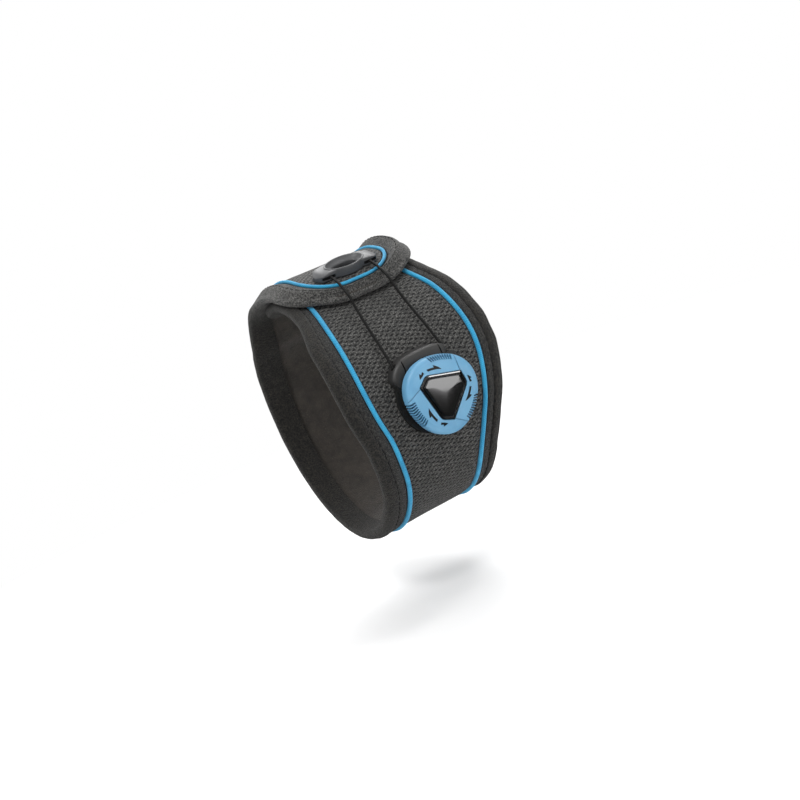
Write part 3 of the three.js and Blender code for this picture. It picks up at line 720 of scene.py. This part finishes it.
def makeBase():
    angle, elbow, wrist = laneRows(outerLane, basePad["inset"])
    share = np.linspace(0, 1, basePad["columns"])
    edge = np.abs(2 * share - 1) ** 5
    a, x = angle[:, None] + 0 * share, lerp(elbow[:, None], wrist[:, None], share)
    drawn = atFront(a) * np.maximum(0, smooth(-a, 297, 309) - edge)
    a, x = tucked(a, x, edge)
    a = a + drawn
    u = (shape["innerEnd"] - a) * shape["flapDegree"]
    swell = basePad["swell"] * ripple(u, x, basePad["wave"], 21) * np.sin(math.pi * share)
    inside = strapPoint(a, x, np.minimum(swell, basePad["most"]))
    thinned = basePad["thinned"] * np.minimum(0, borderRise(1.0, a, x)) * edge
    outside = strapPoint(a, x, shape["baseThickness"] + thinned)
    made = makeMesh("strapBase", np.stack([inside, outside]), [slabFaces(*a.shape)], sharp=60)
    print("strap base", len(made.data.polygons))
    return made


# Piping: cloth-covered cord, a circle carried round the strap

piping = {
    # grooveShade is painted shade: a darker blue for the hollows between the cord's ribs
    "colour": "#2bb3e2", "dark": "#1c9ace", "grooveShade": "#10608a", "roughness": 0.7,
    "radius": 0.92, "thinnerOnFlap": 0.25, "sides": 12, "steps": {"sideSteps": 560, "flapSteps": 40},
}


def makePiping():
    radius, sides = piping["radius"], piping["sides"]
    path = laneLoop(pipingLane, 0.0, **piping["steps"])
    thin = 1 - piping["thinnerOnFlap"] * flapWeight(path[0])
    rings = []
    for turn in turnsOf(sides):
        lane = laneLoop(pipingLane, radius * math.cos(turn), **piping["steps"])
        angle, x = lerp(path[0], lane[0], thin), lerp(path[1], lane[1], thin)
        rings.append(strapPoint(angle, x, shape["pipingHeight"] + radius * thin * math.sin(turn)))
    points = np.stack(rings, 1)
    girth = np.linspace(0, fullTurn * radius, sides + 1)
    quads, uv = gridFaces(len(points), sides, True, True, runLength(points.mean(1)), girth)
    made = makeMesh("pipingCord", points, [quads], [uv], sharp=80)
    print("piping", len(made.data.polygons))
    return made


def makePipingMaterial():
    material, tree, shader = newMaterial("piping cord", piping["roughness"], {"Sheen Weight": 0.2})
    ribs = uvWave(tree, 0.75, 0.6, "DIAGONAL")
    fine, mottle = grain(tree, (1500, 3, 0.55), (200, 3, 0.55))
    dark, light = linear(piping["dark"]), linear(piping["colour"])
    colour = mixColour(tree, mapRange(tree, mottle, 0.3, 0.7), dark, light)
    # Painted shade: the hollows between the ribs are coloured darker
    colour = mixColour(tree, mapRange(tree, ribs, 0.0, 0.6, (0.4, 0.0)), colour, linear(piping["grooveShade"]))
    height = plus(tree, ribs, times(tree, fine, 0.4))
    plug(tree, shader, colour=colour, normal=bump(tree, height, 0.8, 0.00025))
    return material


# Dial. Its axis runs along -y at x, and heights are above its seat. Directions are degrees round it from +x

dial = {
    "x": 2.0, "seat": 43.61, "turn": 15, "radius": 14.35, "lobe": 0.55, "bottom": 4.9, "top": 11.2,
    "faceRise": 0.55, "bevelHeight": 2.05, "bevelWidth": 1.8, "bore": 2.3,
    "notch": 0.95, "notchSlant": 1.2, "notchReach": 2.1, "teeth": 10, "pitch": 4.2,
    "capSide": 6.8, "capCorner": 9.45, "capSeat": 9.6, "capGap": 0.3,
    "portSpread": 21.6, "portHeight": 1.3, "portReach": 11.6, "portDepth": 5.4,
    # grooveShade: painted shade, a darker blue put in the grip notches and along the fine lines where shade
    # falls
    "blue": "#5f97bb", "blueLight": "#6ca2c4", "grooveShade": "#1e4560",
    # arrowShade is the near black painted shade of the recessed arrows
    "black": "#060606", "housing": "#1c1c1b", "arrowShade": "#0c0c0d", "pin": "#55585c",
}
# Fine lines on the knob from the cap's sharp corners to the rim: radius and turn from the corner at both ends
partLines = {"start": (9.9, 0.245), "end": (14.6, 0.64), "width": 0.13, "depth": 0.22}
knobFoot = [(1.3, 0), (0.7, 0.4), (0.2, 0.95), (0.0, 1.5)]  # inset, height above the bottom
knobBevel = [(0.05, 0.25), (0.16, 0.5), (0.36, 0.78), (0.66, 1.02), (1.0, 1.2), (1.4, 1.34), (1.8, 1.43)]


def dialPoint(radius, direction, height):
    turn = np.radians(direction)
    return spread(dial["x"] + radius * np.cos(turn), -dial["seat"] - height, radius * np.sin(turn))


def fromCorner(direction):  # degrees from the nearest of the cap's three corners
    return (np.asarray(direction) - dial["turn"] + 60) % 120 - 60


# 1 in the middle of a grip notch and 0 on its teeth; the notches slant as they run inward
def toothAt(direction, inset=0.0):
    away = fromCorner(np.asarray(direction) + dial["notchSlant"] * inset)
    half = dial["teeth"] * dial["pitch"] / 2
    past = np.abs(away) - (60 - half)
    phase = np.where(away > 0, past, 2 * half - past) % dial["pitch"] / dial["pitch"]
    return (1 - smooth(np.abs(phase - 0.5), 0.18, 0.3)) * (past > 0)


# Radius of the knob: a circle with three low lobes, less the inset and the notches
def knobEdge(direction, inset, notchShare):
    lobe = dial["lobe"] * np.cos(np.radians(3 * (fromCorner(direction) - 4)))
    return dial["radius"] + lobe - inset - dial["notch"] * notchShare * toothAt(direction)


# Radius of the cap: a triangle with cut corners, one end of each cut sharp and the other round. It is the
# smooth least of three straight lines: minus the log of the sum of their negative exponentials
def capEdge(direction, inset):
    away = fromCorner(direction)
    turn = np.radians(away)
    lines = ((dial["capCorner"], 0.1), (dial["capSide"], -math.pi / 3), (dial["capSide"], math.pi / 3))
    reach = [(distance - inset) / np.maximum(0.2, np.cos(turn + lean)) for distance, lean in lines]
    sharp = lerp(2.2, 11.0, smooth(away, -10, 4) * (1 - smooth(away, 50, 60)))
    return -np.log(sum(np.exp(-sharp * r) for r in reach)) / sharp


def faceHeight(share):  # from the bevel at share 0 to the cap's pocket at 1
    return dial["top"] - dial["faceRise"] * (1 - share)


# 1 on the fine lines, as a bell curve of the distance from them
def partLine(radius, direction):
    away = np.radians(fromCorner(direction))
    x, z = radius * np.cos(away), radius * np.sin(away)
    start, end = (r * np.array([math.cos(t), math.sin(t)]) for r, t in (partLines["start"], partLines["end"]))
    run = end - start
    along = np.clip(((x - start[0]) * run[0] + (z - start[1]) * run[1]) / (run @ run), 0, 1.2)
    off = np.hypot(x - start[0] - along * run[0], z - start[1] - along * run[1])
    return np.exp(-(off / partLines["width"]) ** 2)


# Knob: rings from the bore out, up the notched side, over the bevel and the face, and down the cap's pocket
def makeKnob():
    direction = turnsOf(1440, 360)
    top, bottom, side = dial["top"], dial["bottom"], dial["top"] - dial["bevelHeight"]
    # grooveShades holds how much painted shade darkens each point: in the grip notches and along the fine lines
    rings, grooveShades = [], []

    def ring(height, radius, grooveShade=0.0):
        rings.append(dialPoint(radius, direction, height))
        grooveShades.append(0 * direction + grooveShade)

    def marked(height, radius, inset, depth):
        tooth, line = toothAt(direction, inset) * (inset < dial["notchReach"]), partLine(radius, direction)
        ring(height - depth * tooth - partLines["depth"] * line, radius, np.maximum(tooth, line))
    ring(bottom, dial["bore"])
    for inset, rise in knobFoot:
        ring(bottom + rise, knobEdge(direction, inset, 1 - 0.5 * inset))
    for height in (bottom + 2.6, side - 0.3, side):
        ring(height, knobEdge(direction, 0, 1), 0.7 * toothAt(direction))
    for inset, rise in knobBevel:
        marked(side + rise, knobEdge(direction, inset, max(0, 1 - inset / 1.3)), inset, 0.8)
    outer, pocket = knobEdge(direction, dial["bevelWidth"], 0), capEdge(direction, -dial["capGap"])
    for share in np.linspace(0.04, 0.97, 22):
        inset = share * (outer - pocket) + dial["bevelWidth"]
        marked(faceHeight(share), lerp(outer, pocket + 0.2, share), inset, 0.6)
    for height, radius in ((top - 0.03, pocket + 0.1), (top - 0.12, pocket), (dial["capSeat"], pocket)):
        ring(height, radius)
    ring(dial["capSeat"], dial["bore"])
    made = makeMesh("dialKnob", np.stack(rings), [gridFaces(len(rings), 1440, True, True)[0]], sharp=38)
    # The painted shade of the notches and fine lines goes to the material as a mask
    setMask(made, "grooveShade", grooveShades)
    print("dial knob", len(made.data.polygons))
    return made


# Direction arrows on the knob's face: degrees past the middle of the cap's side, inner and outer radius
arrowShapes = [
    [(34, 10.0, 10.9), (26, 9.5, 10.4), (18.2, 9.1, 9.95), (17.8, 9.1, 10.85), (9, 8.75, 9.7),
     (1.5, 8.55, 8.65)],
    [(42.5, 10.7, 11.6), (48.3, 10.6, 11.3), (48.7, 10.6, 12.05), (53, 10.7, 11.5), (57, 10.85, 10.95)],
]


# Thin dark slabs between the arrows' two radii, let into the knob's face on each of its three sides; their near
# black is painted shade standing for the arrows' recess
def makeArrows():
    points, faces, start = [], [], 0
    for third in range(3):
        for form in arrowShapes:
            past, inner, outer = np.array(sorted(form), float).T
            at = np.unique(np.concatenate([np.linspace(past[0], past[-1], 19), past]))[:, None]
            radius = lerp(np.interp(at, past, inner), np.interp(at, past, outer), np.linspace(0, 1, 4))
            direction = dial["turn"] + 60 + 120 * third + at + 0 * radius
            pocket, edge = capEdge(direction, -dial["capGap"]) + 0.2, knobEdge(direction, dial["bevelWidth"], 0)
            level = faceHeight((edge - radius) / (edge - pocket))
            points += [dialPoint(radius, direction, level + rise).reshape(-1, 3) for rise in (0.03, -0.3)]
            faces.append(slabFaces(len(at), 4) + start)
            start += 8 * len(at)
    return makeMesh("dialArrows", np.concatenate(points), [np.concatenate(faces)], sharp=20)


# Section of the cap, over its chamfered rim and a channel to its face: height above the top, inset
capProfile = [
    (-0.05, 0.0), (0.0, 0.03), (0.15, 0.44), (0.13, 0.52), (-0.28, 0.7), (-0.32, 0.78), (-0.3, 0.9),
    (0.4, 1.14), (0.52, 1.24), (0.56, 1.4),
]
capDome = {"steps": 9, "rise": 0.09, "reach": 4.83}


# Cap: the section's edges as rings, then a dome that rises as a parabola to a point in the middle
def makeCap():
    direction = turnsOf(720, 360)
    foot = dial["capSeat"] + dial["capGap"]
    share = np.arange(1, capDome["steps"] + 1) / capDome["steps"]
    edgeRise, edgeInset = capProfile[-1]
    domed = zip(edgeRise + capDome["rise"] * (1 - (1 - share) ** 2), edgeInset + capDome["reach"] * share)
    rows = [(foot, 0.0)] + [(dial["top"] + rise, inset) for rise, inset in (*capProfile, *domed)]
    rings = [dialPoint(capEdge(direction, inset), direction, height) for height, inset in rows]
    middle = [dialPoint(0, 0, height)[None] for height in (foot, dial["top"] + 0.651)]
    count, k = len(direction), np.arange(len(direction))
    last, under = (len(rows) - 1) * count, np.full(count, len(rows) * count)
    low = np.stack([under, (k + 1) % count, k], 1)
    high = np.stack([under + 1, last + k, last + (k + 1) % count], 1)
    quads, _ = gridFaces(len(rows), count, False, True)
    fans = np.concatenate([low, high])
    return makeMesh("dialCap", np.concatenate([*rings, *middle]), [quads, fans], sharp=30)


def makeKnobMaterial():
    softness = {"Subsurface Weight": 0.06, "Subsurface Scale": 0.002}
    material, tree, shader = newMaterial("knob plastic", 0.42, softness)
    fine, mottle = grain(tree, (3000, 2, 0.55), (90, 3, 0.55))
    blue, light = linear(dial["blue"]), linear(dial["blueLight"])
    colour = mixColour(tree, mapRange(tree, mottle, 0.35, 0.65), blue, light)
    # Painted shade: the notches and fine lines are coloured a darker blue
    colour = mixColour(tree, times(tree, maskOf(tree, "grooveShade"), 0.85), colour, linear(dial["grooveShade"]))
    plug(tree, shader, colour=colour, roughness=mapRange(tree, mottle, 0.2, 0.8, (0.36, 0.5)),
         normal=bump(tree, fine, 0.12, 0.0001))
    return material


# Shroud of the reel: a raised band round the side of the housing that the laces enter

shroud = {
    "from": 48, "to": 150, "inner": 12.4, "halfWidth": 15.2, "halfHeight": 16.9, "top": 4.15, "foot": -0.35,
    "port": 0.95, "slit": 8.0, "slitHalf": 0.24, "colour": "#2b2a29", "roughness": 0.45,
}
# Section of the shroud: share of the way from its inner to its outer wall, height under its top
shroudProfile = [
    (0, 0.35), (0.06, 0.08), (0.16, 0.0), (0.5, 0.12), (0.76, 0.42), (0.9, 0.85), (0.97, 1.35), (1.0, 1.95),
]
portFunnel = [(9.0, 1), (13.2, 1), (20.0, 2.2)]  # z, share of the port's radius


def makeShroud():
    direction = np.linspace(shroud["from"], shroud["to"], 91)
    toEnd = np.minimum(direction - shroud["from"], shroud["to"] - direction)
    # Outer wall: the cube root of one over the summed cubes, which makes a rounded box
    turn = np.radians(direction)
    wide, high = np.abs(np.cos(turn)) / shroud["halfWidth"], np.sin(turn) / shroud["halfHeight"]
    wall = (wide ** 3 + high ** 3) ** (-1 / 3)
    reach = lerp(shroud["inner"], wall, (1 - (1 - np.minimum(1, 0.08 + toEnd / 9)) ** 2) ** 0.5)
    rings = [dialPoint(lerp(shroud["inner"], reach, share), direction, shroud["top"] - fall)
             for share, fall in shroudProfile]
    # Its foot follows the oval of the mesh
    high, deep = shape["halfHeight"] + shape["meshTop"], shape["halfDepth"] + shape["meshTop"]
    for share in (1.0, 0.0):
        radius = lerp(shroud["inner"], reach, share)
        low = shroud["foot"] - deep * (1 - np.sqrt(1 - (radius * np.sin(turn) / high) ** 2))
        rings.append(dialPoint(radius, direction, low))
    band = makeMesh("reelShroud", np.stack(rings, 1), tubeFaces(91, len(rings)), sharp=35)
    turn, half = turnsOf(24), shroud["slitHalf"]
    cuts = []
    for side in (-1, 1):
        x, y = dial["x"] + side * dial["portSpread"] / 2, -dial["seat"] - dial["portHeight"]
        cuts.append(makeTool("bore", [
            spread(x + shroud["port"] * flare * np.cos(turn), y + shroud["port"] * flare * np.sin(turn), z)
            for z, flare in portFunnel]))
        x, top = dial["x"] + side * shroud["slit"], -dial["seat"] - shroud["top"]
        square = ((-half, 11), (half, 11), (half, 19), (-half, 19))
        cuts.append(makeTool("slit", [[(x + w, y, z) for w, z in square] for y in (top - 1, top + 1.1)]))
    carve(band, *((cut, "DIFFERENCE") for cut in cuts))
    print("reel shroud", len(band.data.polygons))
    return band


# Lace: the same path as the frame's, through ports, guide and free stretches

lace = {"radius": 0.5, "sides": 14, "plaits": 3, "plaitLength": 0.9, "colour": "#030303", "light": "#121211"}
guide = {
    "angle": 70, "x": 0.5, "foot": 9.25, "length": 26.5, "wingWidth": 8, "wingHeight": 3.1, "wingTip": 1.9,
    "wingSlope": 5.5, "wingCorner": 2.9, "wingRound": 0.45, "wingFoot": 0.04,
    "ringLength": 17, "ringWidth": 10.8, "ringHeight": 3.35, "holeLength": 10.4, "holeWidth": 5.2,
    "laceHeight": 1.6, "laceSpread": 17, "laceBack": 4.05, "grey": "#4c4d4f",
}
fromElbowPort = np.array([
    [20, -8.65, 5.35], [28, -8.45, 4.75], [36, -8.3, 4.75], [44, -8.15, 5.95], [49, -8.05, 7.5],
    [52.2, -8, 9.1], [56.5, -8, 10.15], [60.5, -8, 10.85],
])
toWristPort = np.array([
    [60.5, 9.1, 10.85], [56.5, 9.4, 10.15], [52.8, 9.7, 9.2], [49, 10, 7.45], [44, 10.4, 5.95],
    [36, 11.1, 4.75], [28, 11.8, 4.75], [20, 12.45, 5.35],
])
# Shares of the way through the guide, with the bend from 0.25 to 0.75
throughGuide = (0.2, 0.25, 0.32, 0.39, 0.44, 0.5, 0.56, 0.61, 0.68, 0.75, 0.8)


# Points given along the guide, up the flap and out from it, placed on the flap
def placeOnFlap(points):
    def at(turn, slide):
        return pointRound(guide["angle"] + turn, guide["x"] + slide, guide["foot"])
    along = unit(at(0, 1) - at(0, -1))
    out = unit(np.cross(along, at(1, 0) - at(-1, 0)))
    return at(0, 0) + np.asarray(points, float) @ np.stack([along, np.cross(out, along), out])


# Centripetal Catmull-Rom curve through the points, at even shares of its run of segments
def catmullRom(points, steps):
    p = np.concatenate([[2 * points[0] - points[1]], points, [2 * points[-1] - points[-2]]])
    t = np.linspace(0, len(points) - 1, steps + 1)
    k = np.minimum(t.astype(int), len(points) - 2)
    w = (t - k)[:, None]
    d = np.maximum(1e-4, np.linalg.norm(np.diff(p, axis=0), axis=1) ** 0.5)[:, None]
    p0, p1, p2, p3 = p[k], p[k + 1], p[k + 2], p[k + 3]
    d0, d1, d2 = d[k], d[k + 1], d[k + 2]
    m1 = ((p1 - p0) / d0 - (p2 - p0) / (d0 + d1) + (p2 - p1) / d1) * d1
    m2 = ((p2 - p1) / d1 - (p3 - p1) / (d1 + d2) + (p3 - p2) / d2) * d1
    return p1 + m1 * w + (3 * (p2 - p1) - 2 * m1 - m2) * w ** 2 + (2 * (p1 - p2) + m1 + m2) * w ** 3


def lacePath(steps=420):
    def inPort(side, *places):
        x, y = dial["x"] + side * dial["portSpread"] / 2, -dial["seat"] - dial["portHeight"]
        return [[x, y, z] for z in places]
    deep = dial["portReach"] - dial["portDepth"] + 0.3
    share = np.array(throughGuide)
    bend = np.clip((share - 0.25) * 2, 0, 1) * math.pi
    straight = 4 * np.maximum(0, np.abs(share - 0.5) - 0.25)
    back = guide["laceBack"] * np.sin(bend) - straight * guide["ringWidth"]
    turns = spread(-guide["laceSpread"] / 2 * np.cos(bend), back, guide["laceHeight"])
    points = np.concatenate([
        inPort(-1, deep, 11.6, 13.6), pointRound(*fromElbowPort.T), placeOnFlap(turns),
        pointRound(*toWristPort.T), inPort(1, 13.6, 11.6, deep),
    ])
    return catmullRom(points, steps)


# Round tube along the path, with its sides carried forward without twist
def makeLace(path):
    ahead = unit(np.gradient(path, axis=0))
    side = np.zeros_like(path)
    side[0] = unit(np.cross(ahead[0], [0, 1, 0]))
    for i in range(1, len(path)):
        side[i] = unit(side[i - 1] - ahead[i] * np.dot(side[i - 1], ahead[i]))
    sides = lace["sides"]
    rings = ringsRound(path, side, np.cross(ahead, side), lace["radius"], sides)
    _, uv = gridFaces(len(path), sides, False, True, runLength(path, False), np.linspace(0, 1, sides + 1))
    return makeMesh("laceCord", rings, tubeFaces(len(path), sides), [uv, np.zeros((2, sides, 2))], sharp=60)


# Lace cloth: two sets of plaits that run round the cord in opposite ways, the higher of two sines
def makeLaceMaterial():
    material, tree, shader = newMaterial("lace", 0.6, {"Specular IOR Level": 0.25})
    u, v = uvParts(tree)
    run, turned = times(tree, u, fullTurn / lace["plaitLength"]), times(tree, v, fullTurn * lace["plaits"])
    plaits = [math2(tree, "SINE", part) for part in (plus(tree, run, turned), minus(tree, run, turned))]
    braid = math2(tree, "MAXIMUM", *plaits)
    # Painted shade: the cord is darker between the plaits and lighter on their tops
    colour = mixColour(tree, mapRange(tree, braid, 0.2, 1.0), linear(lace["colour"]), linear(lace["light"]))
    plug(tree, shader, colour=colour, normal=bump(tree, braid, 0.5, 0.00012))
    return material


# Lace guide: an oval ring between two sloping wings. Its profiles hold the share of the way from the ring's
# outer to its inner oval, and the height from the foot or, where marked by True, from the ring's top

ringProfile = [
    (0.0, 0.0, False), (0.0, 1.0, False), (0.02, -0.7, True), (0.05, -0.35, True), (0.1, -0.1, True),
    (0.17, 0.0, True), (0.25, -0.04, True), (0.31, -0.18, True), (0.37, -0.42, True), (0.55, -0.95, True),
    (0.8, -1.4, True), (0.93, -1.62, True), (1.0, -1.95, True), (1.0, 0.0, False),
]
# The wings are cut by a funnel that lies just inside the ring's own wall
funnelProfile = [
    (0.96, -1.0, False), (0.96, -1.9, True), (0.88, -1.6, True), (0.75, -1.38, True), (0.5, -0.95, True),
    (0.32, -0.42, True), (0.2, 3.0, True),
]


def ovalRings(profile):
    turn = turnsOf(96)

    def oval(length, width, power):  # a superellipse, from a little fuller than an ellipse to a rounded box
        c, s = np.cos(turn), np.sin(turn)
        scale = (np.abs(c) ** power + np.abs(s) ** power) ** (-1 / power)
        return spread(length / 2 * c * scale, width / 2 * s * scale, 0)
    outer = oval(guide["ringLength"], guide["ringWidth"], 1.9)
    inner = oval(guide["holeLength"], guide["holeWidth"], 2.3)
    return placeOnFlap([lerp(outer, inner, share) + np.array([0, 0, height + fromTop * guide["ringHeight"]])
                        for share, height, fromTop in profile])


# Wings: a rounded box section carried along the guide, lower and narrower toward its ends
def wingRings():
    half, r, foot = guide["length"] / 2, guide["wingRound"], guide["wingFoot"]
    sections = []
    for x in np.linspace(-half, half, 17):
        toEnd = half - abs(x)
        narrowed = 1 - math.sqrt(max(0, 1 - (1 - min(1, toEnd / guide["wingCorner"])) ** 2))
        wide = guide["wingWidth"] / 2 - guide["wingCorner"] * narrowed
        rise = lerp(guide["wingTip"], guide["wingHeight"], min(1, toEnd / guide["wingSlope"]))
        top = rise - 0.5 * (toEnd < 0.4)
        sections.append([
            (x, -wide, foot), (x, -wide, top - r), (x, -wide + 0.3 * r, top - 0.3 * r), (x, -wide + r, top),
            (x, wide - r, top), (x, wide - 0.3 * r, top - 0.3 * r), (x, wide, top - r), (x, wide, foot),
        ])
    return placeOnFlap(sections)


def makeGuide():
    quads, _ = gridFaces(len(ringProfile), 96, True, True)
    ring = makeMesh("laceGuide", ovalRings(ringProfile), [quads], sharp=30)
    wings = makeTool("wings", wingRings())
    carve(wings, (makeTool("hole", ovalRings(funnelProfile)), "DIFFERENCE"))
    square = ((6.3, -9), (11.7, -9), (11.7, -1.6), (6.3, -1.6))
    slots = [makeTool("slot", placeOnFlap([[(side * x, y, z) for x, y in square] for z in (0.5, 1.75)]))
             for side in (-1, 1)]
    carve(ring, (wings, "UNION"), *((slot, "DIFFERENCE") for slot in slots))
    print("lace guide", len(ring.data.polygons))
    return ring


# Put together: each piece gets its material, rides on its body and replaces the nodes that it stands for

def dress(piece, material, body, slot, *nodes):
    piece.data.materials.clear()
    piece.data.materials.append(material)
    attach(piece, body)
    if nodes:
        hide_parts(*nodes)
    return piece


base = dress(makeBase(), makeInsideMaterial(), "strap", "base_cloth", "band")
panel = dress(makeMeshPanel(), makeMeshMaterial(), "strap", "mesh_cloth", "mesh_panel")
dress(makeBinding(), makeBorderMaterial(), "strap", "binding_cloth", "edge_binding")
dress(makeStitching(), makePlain("thread", stitches["colour"], 0.7), "strap", "binding_cloth")
dress(makePiping(), makePipingMaterial(), "strap", "piping_cord", "piping")
path = lacePath()
laceCord = dress(makeLace(path), makeLaceMaterial(), "strap", "lace", "lace")
guidePlastic = makePlain("guide plastic", guide["grey"], 0.42, 0.12)
dress(makeGuide(), guidePlastic, "strap", "guide_plastic", "lace_guide")
dress(makeKnob(), makeKnobMaterial(), "dial", "knob_plastic", "dial_knob")
dress(makeCap(), makePlain("cap plastic", dial["black"], 0.07, 0.0, 1.0), "dial", "cap_plastic", "dial_cap")
# The arrows are near black as painted shade of their recess
dress(makeArrows(), makePlain("arrow recess shade", dial["arrowShade"], 0.5), "dial", "knob_plastic")
shroudPlastic = makePlain("shroud plastic", shroud["colour"], shroud["roughness"])
dress(makeShroud(), shroudPlastic, "strap", "housing_plastic")
for name, material in (("reel_base", makePlain("housing plastic", dial["housing"], 0.38, 0.2)),
                       ("dial_spindle", makePlain("pin steel", dial["pin"], 0.35, 0.05))):
    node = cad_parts[name]
    node.data.materials.clear()
    node.data.materials.append(material)
print("pieces made")


# Camera, floor and light. The camera looks at the origin, turned round it, tilted and rolled, with the origin
# at u and v in its picture

view = {
    "distance": 639, "turn": 23.06, "tilt": 10.0, "roll": 26.0,
    "focal": 1668, "u": 375.3, "v": 396.9, "size": 800,
}
lights = {
    "key": {"place": (-0.55, -0.6, 0.95), "size": 0.35, "power": 6.0},
    "rim": {"place": (0.43, -0.22, 0.87), "size": 0.22, "power": 1.6, "aim": (0, -0.05, 0)},
    "back": {"place": (0.42, 0.62, 0.8), "size": 0.8, "power": 8.5, "aim": (0, 0, 0.05)},
    "front": {"place": (0.158, -0.428, -0.014), "size": 0.11, "power": 0.16, "aim": (0, -0.055, 0)},
    # Seen only as a line of light on the rim of the dial's cap
    "glint": {
        "place": (0.29, -0.414, 0.196), "size": 0.07, "power": 0.17, "aim": (0, -0.055, 0), "diffuse": False,
    },
}
floorLook = {
    "level": -75.0, "dark": "#f3f3f3", "light": "#fbfbfb", "fadeFrom": 0.14, "fadeTo": 0.42, "card": 0.05,
}
sky = {"horizon": 0.28, "above": 0.85, "aboveFrom": 0.7}


def makeCamera():
    camera = bpy.data.cameras.new("camera")
    camera.sensor_width, camera.lens = 36, 36 * view["focal"] / view["size"]
    camera.shift_x = -(view["u"] - view["size"] / 2) / view["size"]
    camera.shift_y = (view["v"] - view["size"] / 2) / view["size"]
    camera.clip_start, camera.clip_end = 0.01, 20
    turn, tilt, roll = (math.radians(view[k]) for k in ("turn", "tilt", "roll"))
    right = np.array([math.cos(turn), -math.sin(turn) * math.cos(tilt), math.sin(turn) * math.sin(tilt)])
    up = np.array([0, math.sin(tilt), math.cos(tilt)])
    back = np.cross(right, up)
    x = math.cos(roll) * right - math.sin(roll) * up
    y = math.sin(roll) * right + math.cos(roll) * up
    matrix = np.eye(4)
    matrix[:3] = np.stack([x, y, back, back * view["distance"] * mm], 1)
    placed = bpy.data.objects.new("camera", camera)
    placed.matrix_world = Matrix(matrix.tolist())
    scene.collection.objects.link(placed)
    scene.camera = placed


def areaLight(name, place, size, power, aim=(0, 0, 0), diffuse=True):
    light = bpy.data.lights.new(name, "AREA")
    light.energy, light.size = power, size
    placed = bpy.data.objects.new(name, light)
    scene.collection.objects.link(placed)
    placed.location = place
    placed.rotation_euler = (Vector(aim) - Vector(place)).to_track_quat("-Z", "Y").to_euler()
    placed.visible_camera, placed.visible_diffuse = False, diffuse


def makeFloor():
    turn = turnsOf(96)
    rings = [spread(r * np.cos(turn), r * np.sin(turn), floorLook["level"]) for r in (20, 200, 900, 2600)]
    quads, _ = gridFaces(4, 96, False, True)
    k = np.arange(96)
    fan = np.stack([np.full(96, 4 * 96), k, (k + 1) % 96], 1)
    points = np.concatenate([*rings, [[0, 0, floorLook["level"]]]])
    floor = makeMesh("floor", points, [quads[:, ::-1], fan], outward=False)
    material, tree, shader = newMaterial("floor", 0.75)
    shade = mixColour(tree, objectNoise(tree, 3, 2), linear(floorLook["dark"]), linear(floorLook["light"]))
    plug(tree, shader, colour=shade)
    # It fades to the backdrop's white far off, is dim in mirror-like reflections, as if by a dark card, and
    # isn't seen from below, so that the underside of the strap is
    place = addNode(tree, "TexCoord").outputs["Object"]
    far = addNode(tree, "VectorMath", {0: place}, operation="LENGTH").outputs["Value"]
    card = (floorLook["card"],) * 3 + (1,)
    steps = (
        (mapRange(tree, far, floorLook["fadeFrom"], floorLook["fadeTo"]), addNode(tree, "Emission")),
        (addNode(tree, "LightPath").outputs["Is Glossy Ray"], addNode(tree, "BsdfDiffuse", {"Color": card})),
        (addNode(tree, "NewGeometry").outputs["Backfacing"], addNode(tree, "BsdfTransparent")),
    )
    shown = shader
    for share, other in steps:
        shown = addNode(tree, "MixShader", {0: share, 1: shown.outputs[0], 2: other.outputs[0]})
    out = next(n for n in tree.nodes if n.type == "OUTPUT_MATERIAL")
    tree.links.new(shown.outputs[0], out.inputs["Surface"])
    floor.data.materials.append(material)


# White to the camera; to the object a sky that is bright above and dim at the horizon
def makeWorld():
    world = bpy.data.worlds.new("world")
    world.use_nodes = True
    tree = world.node_tree
    back = tree.nodes["Background"]
    up = addNode(tree, "SeparateXYZ", {0: addNode(tree, "TexCoord").outputs["Generated"]}).outputs[2]
    lit = mapRange(tree, up, 0.0, sky["aboveFrom"], (sky["horizon"], sky["above"]))
    back.inputs[0].default_value = (1, 1, 1, 1)
    seen = addNode(tree, "LightPath").outputs["Is Camera Ray"]
    tree.links.new(math2(tree, "MAXIMUM", lit, seen), back.inputs[1])
    scene.world = world


scene.view_settings.view_transform = "Standard"
makeWorld()
makeCamera()
makeFloor()
for name, light in lights.items():
    areaLight(name, **light)
print("camera, floor and light made")
